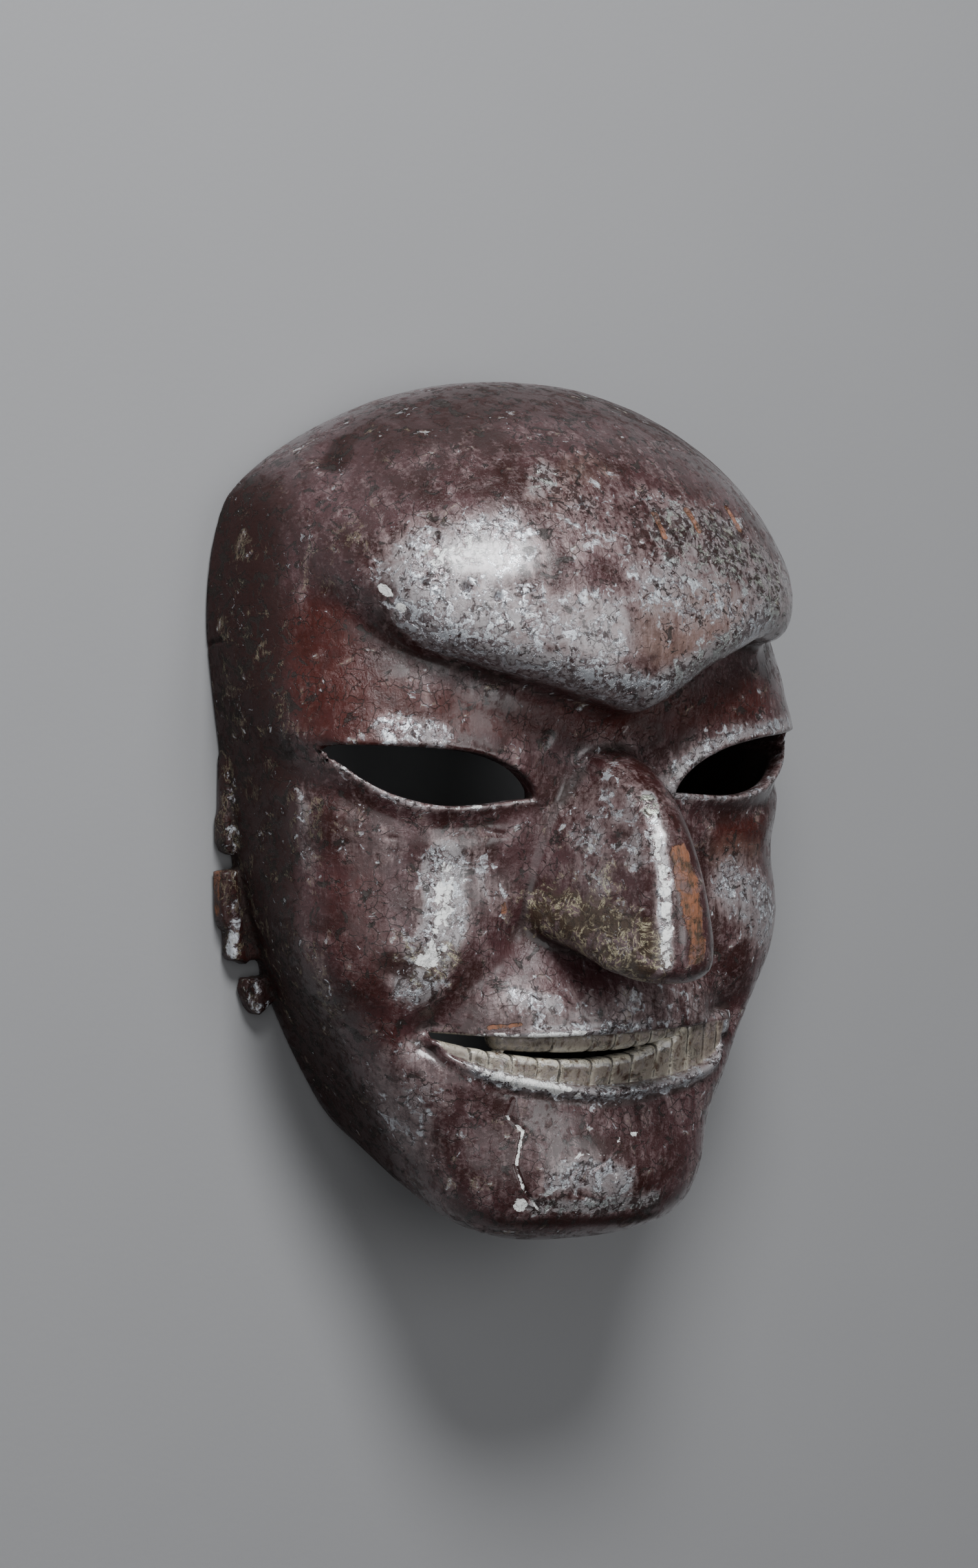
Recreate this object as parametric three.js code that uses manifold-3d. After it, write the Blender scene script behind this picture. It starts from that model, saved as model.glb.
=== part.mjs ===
// A carved wooden face mask with open eyes, a grinning mouth and small ears, lying on its back rim.
// X runs across the face, Y to the crown and Z out of the face. All sizes are in millimetres.
import * as THREE from "three";
import Module from "manifold-3d";
import { mergeVertices } from "three/addons/utils/BufferGeometryUtils.js";

// Driving dimensions of the head: [height, size] pairs, from the chin to the brow
const HALF_WIDTH = [
  [-140, 30], [-118, 43.5], [-106, 50.5], [-93, 58.5], [-75, 69], [-55, 78.5],
  [-30, 87.5], [0, 93], [22, 95.6], [43, 98.6], [60, 101.2], [90, 103],
];
const FACE_DEPTH = [
  [-140, 74], [-118, 79], [-100, 79], [-80, 80], [-60, 79], [-40, 76],
  [-20, 75], [0, 78], [30, 83], [60, 85], [90, 85],
];
const FRONT_FLARE = [
  [-140, 0.44], [-128, 0.34], [-118, 0.25], [-106, 0.2], [-94, 0.155], [-80, 0.125],
  [-60, 0.11], [-40, 0.105], [-20, 0.09], [0, 0.065], [25, 0.065], [42, 0.1], [75, 0], [90, 0],
];
const SQUARENESS = [
  [-140, 3.2], [-100, 3.4], [-60, 3.6], [-20, 3.3], [10, 3.5], [40, 3.4], [70, 2.9], [90, 2.9],
];
const FLARE_DEPTH = 62;
const FLARE_END = 1.4;
const TEMPLE_SQUARENESS = { crown: 2.35, face: 3.3, from: 62, to: 25 };
const CROWN_START = 56;
const CROWN_RISE = 83.8;
const CROWN_HALF_WIDTH = 103.3;
const FOREHEAD_DEPTH = 110.2;
const TEMPLE_DEPTH = 86;
const CROWN_PEAK_DEPTH = 18;
const CROWN_PEAK_END = 1.2;
const CROWN_BACK_FALL = 64;
const CROWN_ROUNDNESS = 2.01;
const CROWN_SWELL = { share: 0.076, at: 107, width: 23, front: 75, rim: -5 };
const FOREHEAD_SQUARENESS = { low: 2.3, high: 2.2, from: 75, to: 110 };
const BOARD_BLEND = 6;

// The brow: a shallow V whose ends turn up at the temples, higher on the right
const BROW_MIDDLE = 34;
const BROW_MIDDLE_ROUND = 2;
const BROW_SLOPE = 0.31;
const BROW_TURN = 66;
const BROW_TURN_LENGTH = 18;
const BROW_TURN_RISE = 17;
const BROW_ROUND = 13;
const BROW_MIDDLE_FADE = { extra: 7, width: 14 };
const BROW_LIFT = { rise: 7, full: 28, falls: 48, end: 72 };

// True distance from a slanting edge, as a share of the height over it
const SLANT = 0.93;

// The jaw: its underside rises from the chin to the rim
const CHIN_BOTTOM = 131.2;
const JAW_RISE = 0.3;
const JAW_FLAT_DEPTH = 63;
const JAW_BLEND = { front: 12, rim: 22, depth: 40 };

// The nose: [height, size] pairs, from the tip to the bridge
const NOSE_BOTTOM = -60;
const NOSE_TOP = 30;
const BRIDGE_TOP = 27;
const NOSE_RIDGE = [
  [-60, 100], [-53, 108], [-50, 118], [-46, 123.5], [-38, 126], [-27, 124.8], [-14, 121.8],
  [0.7, 116], [8.2, 110], [14.4, 102], [18, 96], [21, 88], [24, 79], [30, 62],
];
const NOSE_RIDGE_RADIUS = [
  [-60, 15], [-38, 15.5], [-27, 14], [-14, 12], [0, 10], [8, 9.5], [14, 9.5], [24, 9],
];
const NOSE_BASE_RADIUS = [
  [-60, 24], [-44, 26], [-36, 27], [-23, 26.5], [-11, 25.5], [2, 22], [11, 16], [18, 11], [24, 8], [30, 7],
];
const NOSE_FOOT = 76;
const NOSTRIL_LINE = 41;
const NOSTRIL_SLOPE = 0.27;
const NOSTRIL_DEPTH = 82;
const NOSTRIL_BLEND = { front: 7, wing: 15, frontDepth: 104, wingDepth: 86 };
const NOSE_SINK = 8;
const NOSE_SLOPE_SHARE = 0.8;

// Cheeks, muzzle and chin: the centre, three radii and blend width of each
const CHEEK = { x: 54, y: -34, z: 41, rx: 36, ry: 30, rz: 30, blend: 12 };
const MUZZLE = { x: 0, y: -64, z: 50, rx: 50, ry: 25, rz: 35, blend: 12 };
const CHIN = { x: 0, y: -110.5, z: 58, rx: 46, ry: 21.5, rz: 26, blend: 14 };

// Carved detail of the front: how high or deep each ridge and groove is, where it lies and its width
const FRONT = { from: 25, to: 45 };
const LID_RIM = { height: 1.6, at: 1, width: 6 };
const UNDER_EYE = { depth: 2, at: 6.5, width: 4 };
const CREASE = { depth: 2.4, width: 9 };
const WING_HOLLOW = { x: 30, y: -35, depth: 2, width: 6.5 };
const CREASE_TOP = { x: 23, y: -31 };
const CREASE_FOOT = { x: 57, y: -62 };
const MOUTH_DIMPLE = { depth: 5, width: 9.5 };
const LOWER_LIP = { height: 1.7, at: 1.8, width: 2.4 };
const UPPER_LID_FADE = { from: -2, to: 3 };
const UNDER_EYE_START = 0.2;
const LOWER_LIP_FADE = { from: 2, to: -4 };

// The eye holes and the mouth, whose two halves differ
const EYE_INNER = { x: 28, y: 8 };
const EYE_OUTER = { x: 93.5, y: 26 };
const UPPER_LID = { height: 8.4, peak: 0.335 };
const LOWER_LID = { height: 10.6, peak: 0.57 };
const LID_FULLNESS = 0.9;
const MOUTH_LEFT = { half: 57.5, corner: -65.4, fullness: 0.42 };
const MOUTH_RIGHT = { half: 53.5, corner: -67.4, fullness: 0.28 };
const MOUTH_TOP = -67.4;
const MOUTH_BOTTOM = -85;
const MOUTH_MIDDLE_ROUND = 4;
const CUT_START = 36;
const CUT_END = 140;

// The teeth: two rows with a slit between them
const UPPER_TEETH = { left: -38.5, right: 37.5, count: 8, edge: -73.3, middle: -4, bow: 0.002 };
const LOWER_TEETH = { left: -54, right: 52, count: 12, edge: -75.9, leftBow: 0.0026, rightBow: 0.0075 };
const LAST_TOOTH = { rise: 3.5, from: 27, to: 38 };
const TEETH_SET_BACK = 2.6;
const TEETH_THICKNESS = 8;
const TOOTH_GROOVE = 0.9;
const TEETH_ROOT = 4;

// The hollow and the ears
const WALL = 9;
const LEAST_WALL = 4.5;
const EYE_THINNING = { depth: 3.5, width: 12, from: 40, to: 55 };
const HOLLOW_BLEND = 7;
const HOLLOW_ROUND = 24;
const HOLLOW_BROW_RAISE = 8;
const NOSE_HOLLOW = { top: [0, -4, 70], bottom: [0, -30, 78], radius: 11, growth: 5, blend: 10 };
const EAR_THICKNESS = 7;
const EAR_LEAVES = [
  { bottom: -11.7, top: 22, reach: 98, corner: 3 },
  { bottom: -46.2, top: -15.5, reach: 98, corner: 3 },
  { bottom: -63.4, top: -50.4, reach: 89.8, corner: 4 },
];

// Fineness of the carved surfaces
const FACE_MESH = { y: -20, z: -8, columns: 56, rows: 50 };
const FOREHEAD_MESH = { y: 92, z: -8, columns: 32, rows: 28 };
const NOSE_MESH = { y: -18, z: 84, columns: 20, rows: 22 };
const HOLLOW_MESH = { y: 20, z: -8, columns: 32, rows: 30 };
const FRONT_DENSITY = 0.42;
const REACH = 190;
const HALVINGS = 30;
const TINY = 1e-6;

// Puts the middle of the finished height at the origin
const CENTRE_SHIFT = -2.4;

const wasm = await Module();
wasm.setup();

// Smooth minimum and maximum over a blend width k
function smin(a, b, k) {
  const h = Math.min(1, Math.max(0, 0.5 + (0.5 * (b - a)) / k));
  return b + (a - b) * h - k * h * (1 - h);
}

function smax(a, b, k) {
  return -smin(-a, -b, k);
}

function clamp(v, lo, hi) {
  return Math.min(hi, Math.max(lo, v));
}

function smoothstep(from, to, v) {
  const u = clamp((v - from) / (to - from), 0, 1);
  return u * u * (3 - 2 * u);
}

function bump(v, width) {
  return Math.exp(-((v / width) ** 2));
}

// A smooth curve through [position, value] pairs
function along(table, at) {
  const last = table.length - 1;
  const slope = (i) => {
    if (i === 0) return (table[1][1] - table[0][1]) / (table[1][0] - table[0][0]);
    if (i === last) return (table[last][1] - table[last - 1][1]) / (table[last][0] - table[last - 1][0]);
    const before = table[i][0] - table[i - 1][0];
    const after = table[i + 1][0] - table[i][0];
    const rise = (table[i][1] - table[i - 1][1]) / before;
    const next = (table[i + 1][1] - table[i][1]) / after;
    return (rise * after + next * before) / (before + after);
  };
  let i = 0;
  while (i < last - 1 && at > table[i + 1][0]) i += 1;
  const h = table[i + 1][0] - table[i][0];
  const t = clamp((at - table[i][0]) / h, 0, 1);
  const t2 = t * t;
  const t3 = t2 * t;
  return (
    (2 * t3 - 3 * t2 + 1) * table[i][1] + (t3 - 2 * t2 + t) * h * slope(i)
    + (3 * t2 - 2 * t3) * table[i + 1][1] + (t3 - t2) * h * slope(i + 1)
  );
}

function ellipsoid(x, y, z, c) {
  const px = x - c.x;
  const py = y - c.y;
  const pz = z - c.z;
  const k0 = Math.hypot(px / c.rx, py / c.ry, pz / c.rz);
  const k1 = Math.hypot(px / c.rx ** 2, py / c.ry ** 2, pz / c.rz ** 2) + 1e-9;
  return (k0 * (k0 - 1)) / k1;
}

// Straight-sided column whose plan is a rounded rectangle of half width a and depth b
function column(x, z, a, b, n) {
  const r = Math.hypot(x, z);
  const g = ((Math.abs(x) / a) ** n + (Math.abs(z) / b) ** n) ** (1 / n);
  return r < TINY ? -Math.min(a, b) : (1 - 1 / g) * r;
}

// The same column closed by the crown above CROWN_START
function crown(x, y, z, b, n, a) {
  const m = CROWN_ROUNDNESS;
  const u = Math.max(y - CROWN_START, 0) / CROWN_RISE;
  const z0 = CROWN_PEAK_DEPTH * clamp(u, 0, CROWN_PEAK_END);
  const r = Math.hypot(x, z - z0, Math.max(y - CROWN_START, 0));
  if (r < TINY) return -a;
  const zt = z > z0 ? (z - z0) / (b - z0) : (z0 - z) / CROWN_BACK_FALL;
  const g = (((Math.abs(x) / a) ** n + zt ** n) ** (m / n) + u ** m) ** (1 / m) + TINY;
  return (1 - 1 / g) * r;
}

// How much wider the crown is towards the rim
function crownSwell(y, z) {
  return 1 + CROWN_SWELL.share * bump(y - CROWN_SWELL.at, CROWN_SWELL.width)
    * smoothstep(CROWN_SWELL.front, CROWN_SWELL.rim, z);
}

function browLine(x) {
  const ax = Math.hypot(x, BROW_MIDDLE_ROUND);
  const turn = 1 - bump(Math.max(ax - BROW_TURN, 0), BROW_TURN_LENGTH);
  const { rise, full, falls, end } = BROW_LIFT;
  const lift = rise * smoothstep(0, full, x) * smoothstep(end, falls, x);
  return BROW_MIDDLE + BROW_SLOPE * ax + BROW_TURN_RISE * turn + lift;
}

// The underside of the jaw, rising from the chin to the rim
function jaw(y, z) {
  return (-y - CHIN_BOTTOM + JAW_RISE * Math.max(JAW_FLAT_DEPTH - z, 0)) / Math.hypot(1, JAW_RISE);
}

// The face as a bent board, from the chin to the crown
function board(x, y, z) {
  const flare = 1 + along(FRONT_FLARE, y) * clamp(z / FLARE_DEPTH, 0, FLARE_END);
  const share = smoothstep(TEMPLE_SQUARENESS.from, TEMPLE_SQUARENESS.to, y);
  const temple = TEMPLE_SQUARENESS.crown + (TEMPLE_SQUARENESS.face - TEMPLE_SQUARENESS.crown) * share;
  const face = column(x / flare, z, along(HALF_WIDTH, y), along(FACE_DEPTH, y), along(SQUARENESS, y));
  const back = crown(x / crownSwell(y, z), y, z, TEMPLE_DEPTH, temple, CROWN_HALF_WIDTH - 1);
  return smax(face, back, BOARD_BLEND);
}

// The forehead overhanging the face down to the brow, whose edge is raised and rounded as told
function forehead(x, y, z, raise, round) {
  const { low, high, from, to } = FOREHEAD_SQUARENESS;
  const squareness = low + (high - low) * smoothstep(from, to, y);
  const dome = crown(x / crownSwell(y, z), y, z, FOREHEAD_DEPTH, squareness, CROWN_HALF_WIDTH);
  return smax(dome, (browLine(x) + raise - y) * SLANT, round);
}

// The forehead down to the brow, whose edge is rounder in the middle
function overBrow(x, y, z) {
  const round = BROW_ROUND + BROW_MIDDLE_FADE.extra * bump(x, BROW_MIDDLE_FADE.width);
  return forehead(x, y, z, 0, round);
}

// Where a point lies beside an eye: share of the way from the inner corner, and height over that line
function besideEye(x, y) {
  const dx = EYE_OUTER.x - EYE_INNER.x;
  const dy = EYE_OUTER.y - EYE_INNER.y;
  const length = Math.hypot(dx, dy);
  const px = Math.abs(x) - EYE_INNER.x;
  const py = y - EYE_INNER.y;
  return { s: (px * dx + py * dy) / length ** 2, t: (py * dx - px * dy) / length, length };
}

// Height of a lid over the line between the corners, fullest at its peak
function lid(s, shape) {
  const warp = Math.log(0.5) / Math.log(shape.peak);
  return shape.height * Math.sin(Math.PI * clamp(s, TINY, 1 - TINY) ** warp) ** LID_FULLNESS;
}

const upperLid = (s) => lid(s, UPPER_LID);
const lowerLid = (s) => -lid(s, LOWER_LID);

function eyeDistance(x, y) {
  const { s, t, length } = besideEye(x, y);
  if (s < 0 || s > 1) return Math.hypot(Math.max(-s, s - 1) * length, t);
  return Math.max(t - upperLid(s), lowerLid(s) - t) * SLANT;
}

// The half of the mouth at each x, and how far open it is there
function mouthAt(x) {
  const side = x < 0 ? MOUTH_LEFT : MOUTH_RIGHT;
  return { ...side, open: clamp(1 - (x / side.half) ** 2, TINY, 1) };
}

function mouthTop(x) {
  const { corner, open } = mouthAt(x);
  return corner + (MOUTH_TOP - corner) * open;
}

// On the left the lower lip falls almost straight from the corner to the middle
function mouthBottom(x) {
  const { half, corner, fullness, open } = mouthAt(x);
  const run = (v) => Math.hypot(v, MOUTH_MIDDLE_ROUND) - MOUTH_MIDDLE_ROUND;
  const share = x < 0 ? clamp(1 - run(x) / run(half), TINY, 1) : open;
  return corner + (MOUTH_BOTTOM - corner) * share ** fullness;
}

function mouthDistance(x, y) {
  const { half, corner } = mouthAt(x);
  const past = Math.max(Math.abs(x) - half, 0);
  if (past > 0) return Math.hypot(past, y - corner);
  return Math.max(y - mouthTop(x), mouthBottom(x) - y);
}

// The nose: at each height the hull of a small ridge circle and a wide base circle
function nose(x, y, z) {
  const yc = clamp(y, NOSE_BOTTOM, NOSE_TOP);
  const top = along(NOSE_RIDGE, yc);
  const slope = along(NOSE_RIDGE, yc + 0.5) - along(NOSE_RIDGE, yc - 0.5);
  const wide = along(NOSE_BASE_RADIUS, yc);
  const narrow = along(NOSE_RIDGE_RADIUS, yc);
  const h = Math.max(top - narrow - NOSE_FOOT + NOSE_SINK, wide - narrow + 1);
  const px = Math.abs(x);
  const pz = z - (top - narrow - h);
  const sine = (wide - narrow) / h;
  const cosine = Math.sqrt(Math.max(1 - sine * sine, TINY));
  const k = -sine * px + cosine * pz;
  let f = cosine * px + sine * pz - wide;
  if (k < 0) f = Math.hypot(px, pz) - wide;
  if (k > cosine * h) f = Math.hypot(px, pz - h) - narrow;
  f /= Math.hypot(1, NOSE_SLOPE_SHARE * slope);
  const { front, wing, frontDepth, wingDepth } = NOSTRIL_BLEND;
  const blend = front + (wing - front) * smoothstep(frontDepth, wingDepth, z);
  f = smax(f, -NOSTRIL_LINE - NOSTRIL_SLOPE * (z - NOSTRIL_DEPTH) - y, blend);
  return Math.max(f, y - BRIDGE_TOP);
}

// Distance from the crease that runs from the wing of the nose to the corner of the mouth
function creaseDistance(x, y) {
  const dx = CREASE_FOOT.x - CREASE_TOP.x;
  const dy = CREASE_FOOT.y - CREASE_TOP.y;
  const px = Math.abs(x) - CREASE_TOP.x;
  const py = y - CREASE_TOP.y;
  const t = clamp((px * dx + py * dy) / (dx * dx + dy * dy), 0, 1);
  return Math.hypot(px - t * dx, py - t * dy);
}

// The face with cheeks, muzzle and chin, before the fine carving
function plainFace(x, y, z) {
  const ax = Math.abs(x);
  const blend = JAW_BLEND.front + (JAW_BLEND.rim - JAW_BLEND.front) * smoothstep(JAW_BLEND.depth, 0, z);
  let f = smax(board(x, y, z), jaw(y, z), blend);
  f = smin(f, ellipsoid(ax, y, z, CHEEK), CHEEK.blend);
  f = smin(f, ellipsoid(x, y, z, MUZZLE), MUZZLE.blend);
  return smin(f, ellipsoid(x, y, z, CHIN), CHIN.blend);
}

// The carved outside: negative in the wood, positive outside
function outside(x, y, z) {
  let f = plainFace(x, y, z);
  const front = smoothstep(FRONT.from, FRONT.to, z);
  const d = eyeDistance(x, y);
  const { s, t } = besideEye(x, y);
  const upper = smoothstep(UPPER_LID_FADE.from, UPPER_LID_FADE.to, t);
  const pastCorner = smoothstep(0, UNDER_EYE_START, s);
  f -= front * upper * LID_RIM.height * bump(d - LID_RIM.at, LID_RIM.width);
  f += front * (1 - upper) * pastCorner * UNDER_EYE.depth * bump(d - UNDER_EYE.at, UNDER_EYE.width);
  f += front * CREASE.depth * bump(creaseDistance(x, y), CREASE.width);
  const ax = Math.abs(x);
  const fromWing = Math.hypot(ax - WING_HOLLOW.x, y - WING_HOLLOW.y);
  f += front * WING_HOLLOW.depth * bump(fromWing, WING_HOLLOW.width);
  const { half, corner } = mouthAt(x);
  f += front * MOUTH_DIMPLE.depth * bump(Math.hypot(ax - half, y - corner), MOUTH_DIMPLE.width);
  const low = smoothstep(LOWER_LIP_FADE.from, LOWER_LIP_FADE.to, y - corner);
  f -= front * low * LOWER_LIP.height * bump(mouthDistance(x, y) - LOWER_LIP.at, LOWER_LIP.width);
  return f;
}

// The hollow behind the face: negative in the air
function hollow(x, y, z) {
  const brow = forehead(x, y, z, HOLLOW_BROW_RAISE, HOLLOW_ROUND);
  const face = smin(brow, board(x, y, z), HOLLOW_BLEND);
  const beside = Math.max(eyeDistance(x, y), 0);
  const thinning = bump(beside, EYE_THINNING.width) * smoothstep(EYE_THINNING.from, EYE_THINNING.to, z);
  const f = smax(face, jaw(y, z), HOLLOW_ROUND) + WALL - EYE_THINNING.depth * thinning;
  const from = new THREE.Vector3(...NOSE_HOLLOW.top);
  const to = new THREE.Vector3(...NOSE_HOLLOW.bottom);
  const line = new THREE.Line3(from, to);
  const point = new THREE.Vector3(x, y, z);
  const t = line.closestPointToPointParameter(point, true);
  const radius = NOSE_HOLLOW.radius + NOSE_HOLLOW.growth * t;
  const withNose = smin(f, point.distanceTo(line.at(t, new THREE.Vector3())) - radius, NOSE_HOLLOW.blend);
  const wood = Math.min(outside(x, y, z), overBrow(x, y, z), nose(x, y, z));
  return Math.max(withNose, wood + LEAST_WALL);
}

// Halves a ray again and again to find where it leaves a form
function findZero(form) {
  let near = 0;
  let far = REACH;
  for (let i = 0; i < HALVINGS; i += 1) {
    const middle = (near + far) / 2;
    if (form(middle) < 0) near = middle;
    else far = middle;
  }
  return (near + far) / 2;
}

// A sphere drawn out to the form's surface, with its columns closer together in front
function carve(form, middle) {
  const sphere = new THREE.SphereGeometry(1, middle.columns, middle.rows);
  const place = sphere.attributes.position;
  for (let i = 0; i < place.count; i += 1) {
    const dy = clamp(place.getY(i), -1, 1);
    const ring = Math.sqrt(Math.max(0, 1 - dy * dy));
    const turn = Math.atan2(place.getX(i), place.getZ(i)) / Math.PI;
    const azimuth = Math.PI * (FRONT_DENSITY * turn + (1 - FRONT_DENSITY) * turn ** 3);
    const dx = ring * Math.sin(azimuth);
    const dz = ring * Math.cos(azimuth);
    const r = findZero((d) => form(d * dx, middle.y + d * dy, middle.z + d * dz));
    place.setXYZ(i, r * dx, middle.y + r * dy, middle.z + r * dz);
  }
  return sphere;
}

function toManifold(geometry) {
  const bare = geometry.clone();
  bare.deleteAttribute("normal");
  bare.deleteAttribute("uv");
  const merged = mergeVertices(bare, 1e-4);
  const triVerts = new Uint32Array(merged.index.array);
  const vertProperties = new Float32Array(merged.attributes.position.array);
  return new wasm.Manifold(new wasm.Mesh({ numProp: 3, vertProperties, triVerts }));
}

function toGeometry(solid) {
  const mesh = solid.getMesh();
  const geometry = new THREE.BufferGeometry();
  geometry.setAttribute("position", new THREE.BufferAttribute(new Float32Array(mesh.vertProperties), 3));
  geometry.setIndex(new THREE.BufferAttribute(new Uint32Array(mesh.triVerts), 1));
  return geometry;
}

// A prism along Z over a closed outline
function prism(points, from, to) {
  const options = { depth: to - from, bevelEnabled: false };
  const geometry = new THREE.ExtrudeGeometry(new THREE.Shape(points), options);
  return toManifold(geometry.translate(0, 0, from));
}

function eyeCutter(side) {
  const steps = 12;
  const points = [];
  const place = (s, t) => {
    const dx = EYE_OUTER.x - EYE_INNER.x;
    const dy = EYE_OUTER.y - EYE_INNER.y;
    const length = Math.hypot(dx, dy);
    const x = EYE_INNER.x + s * dx - (t * dy) / length;
    const y = EYE_INNER.y + s * dy + (t * dx) / length;
    points.push(new THREE.Vector2(side * x, y));
  };
  for (let i = 0; i <= steps; i += 1) place(i / steps, i === 0 || i === steps ? 0 : upperLid(i / steps));
  for (let i = steps - 1; i > 0; i -= 1) place(i / steps, lowerLid(i / steps));
  return prism(points, CUT_START, CUT_END);
}

function mouthCutter() {
  const steps = 18;
  const span = MOUTH_LEFT.half + MOUTH_RIGHT.half;
  // Closer together towards the corners, where the lips bend most
  const across = (i) => -MOUTH_LEFT.half + (span * (1 - Math.cos((Math.PI * i) / steps))) / 2;
  const points = [];
  for (let i = 0; i <= steps; i += 1) points.push(new THREE.Vector2(across(i), mouthTop(across(i))));
  for (let i = steps - 1; i > 0; i -= 1) points.push(new THREE.Vector2(across(i), mouthBottom(across(i))));
  return prism(points, CUT_START, CUT_END);
}

// A row of teeth: a box bent behind the lips, with a groove between the teeth
function teethRow(row, top, bottom) {
  const perTooth = 3;
  const span = row.right - row.left;
  const box = new THREE.BoxGeometry(span, 1, 1, row.count * perTooth, 1, 1);
  const place = box.attributes.position;
  for (let i = 0; i < place.count; i += 1) {
    const x = place.getX(i) + (row.left + row.right) / 2;
    const y = place.getY(i) > 0 ? top(x) : bottom(x);
    const step = Math.round(((x - row.left) / span) * row.count * perTooth);
    const groove = step % perTooth === 0 ? TOOTH_GROOVE : 0;
    const face = findZero((d) => plainFace(x, y, d));
    const z = face - TEETH_SET_BACK - (place.getZ(i) > 0 ? groove : TEETH_THICKNESS);
    place.setXYZ(i, x, y, z);
  }
  return toManifold(box);
}

// The biting edges of the two rows
function upperEdge(x) {
  const lift = LAST_TOOTH.rise * smoothstep(LAST_TOOTH.from, LAST_TOOTH.to, x);
  return UPPER_TEETH.edge + UPPER_TEETH.bow * (x - UPPER_TEETH.middle) ** 2 + lift;
}

function lowerEdge(x) {
  const bow = x > 0 ? LOWER_TEETH.rightBow : LOWER_TEETH.leftBow;
  return Math.min(LOWER_TEETH.edge + bow * x * x, mouthTop(x) + TEETH_ROOT);
}

// A flat leaf of the ear beside the head, with cut corners
function earLeaf(side, { bottom, top, reach, corner }) {
  const root = (y) => along(HALF_WIDTH, y) - WALL / 2;
  const points = [
    [root(bottom), bottom], [reach - corner, bottom], [reach, bottom + corner],
    [reach, top - corner], [reach - corner, top], [root(top), top],
  ];
  const outline = points.map(([x, y]) => new THREE.Vector2(side * x, y));
  return prism(outline, 0, EAR_THICKNESS);
}

let shell = toManifold(carve(outside, FACE_MESH));
shell = shell.add(toManifold(carve(overBrow, FOREHEAD_MESH)));
shell = shell.add(toManifold(carve(nose, NOSE_MESH)));
shell = shell.subtract(toManifold(carve(hollow, HOLLOW_MESH)));
shell = shell.subtract(eyeCutter(-1)).subtract(eyeCutter(1)).subtract(mouthCutter());
shell = shell.add(teethRow(UPPER_TEETH, (x) => mouthTop(x) + TEETH_ROOT, upperEdge));
shell = shell.add(teethRow(LOWER_TEETH, lowerEdge, (x) => mouthBottom(x) - TEETH_ROOT));
for (const side of [-1, 1]) {
  for (const leaf of EAR_LEAVES) shell = shell.add(earLeaf(side, leaf));
}

// The back rim is cut flat
const bigBox = toManifold(new THREE.BoxGeometry(2 * REACH, 2 * REACH, REACH).translate(0, 0, REACH / 2));
shell = shell.intersect(bigBox);

const wood = new THREE.MeshStandardMaterial({ color: 0x5b3a3a, roughness: 0.4, metalness: 0 });
const mask = new THREE.Mesh(toGeometry(shell), wood);
mask.name = "mask";
mask.geometry.translate(0, CENTRE_SHIFT, 0);

const group = new THREE.Group();
group.add(mask);

export default group;
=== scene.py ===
"""A carved wooden face mask in worn lacquer, lying face up on a pale floor.

The form is a field of distances in millimetres, negative in the wood. X runs across the face,
Y to the crown and Z out of the face, and the back rim lies in the plane Z = 0.
"""

import itertools
import math
from types import SimpleNamespace

import bpy
import numpy as np
from mathutils import Matrix, Vector


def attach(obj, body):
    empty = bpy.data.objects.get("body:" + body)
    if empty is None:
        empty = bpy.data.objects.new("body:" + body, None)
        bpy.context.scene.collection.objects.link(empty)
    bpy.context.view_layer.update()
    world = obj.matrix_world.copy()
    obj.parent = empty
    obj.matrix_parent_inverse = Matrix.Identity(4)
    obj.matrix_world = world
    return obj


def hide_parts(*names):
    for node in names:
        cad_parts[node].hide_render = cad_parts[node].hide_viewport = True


bl_info = {
    "name": "Carved Face Mask",
    "version": (1, 0, 0),
    "blender": (4, 5, 0),
    "location": "View3D > Sidebar > Mask",
    "description": "Carves a hollow wooden face mask and finishes it in worn lacquer",
    "category": "Add Mesh",
}

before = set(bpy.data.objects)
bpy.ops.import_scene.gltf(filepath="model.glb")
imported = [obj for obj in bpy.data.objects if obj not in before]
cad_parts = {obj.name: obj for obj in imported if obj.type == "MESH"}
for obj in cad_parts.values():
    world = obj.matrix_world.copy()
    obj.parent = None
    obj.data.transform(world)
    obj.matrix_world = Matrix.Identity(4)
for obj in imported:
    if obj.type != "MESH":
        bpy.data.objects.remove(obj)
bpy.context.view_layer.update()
MILLIMETRE = 0.001

# The middle of the finished height lies at the origin
CENTRE_SHIFT = -2.4

# Sizes of the head by height: (height, size), from the chin to the brow
HALF_WIDTH = (
    (-140, 30), (-118, 43.5), (-106, 50.5), (-93, 58.5), (-75, 69), (-55, 78.5),
    (-30, 87.5), (0, 93), (22, 95.6), (43, 98.6), (60, 101.2), (90, 103),
)
FACE_DEPTH = (
    (-140, 74), (-118, 79), (-100, 79), (-80, 80), (-60, 79), (-40, 76),
    (-20, 75), (0, 78), (30, 83), (60, 85), (90, 85),
)
FRONT_FLARE = (
    (-140, 0.44), (-128, 0.34), (-118, 0.25), (-106, 0.2), (-94, 0.155), (-80, 0.125), (-60, 0.11),
    (-40, 0.105), (-20, 0.09), (0, 0.065), (25, 0.065), (42, 0.1), (75, 0), (90, 0),
)
SQUARENESS = (
    (-140, 3.2), (-100, 3.4), (-60, 3.6), (-20, 3.3), (10, 3.5), (40, 3.4), (70, 2.9), (90, 2.9),
)
FLARE_DEPTH = 62
FLARE_END = 1.4

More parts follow.
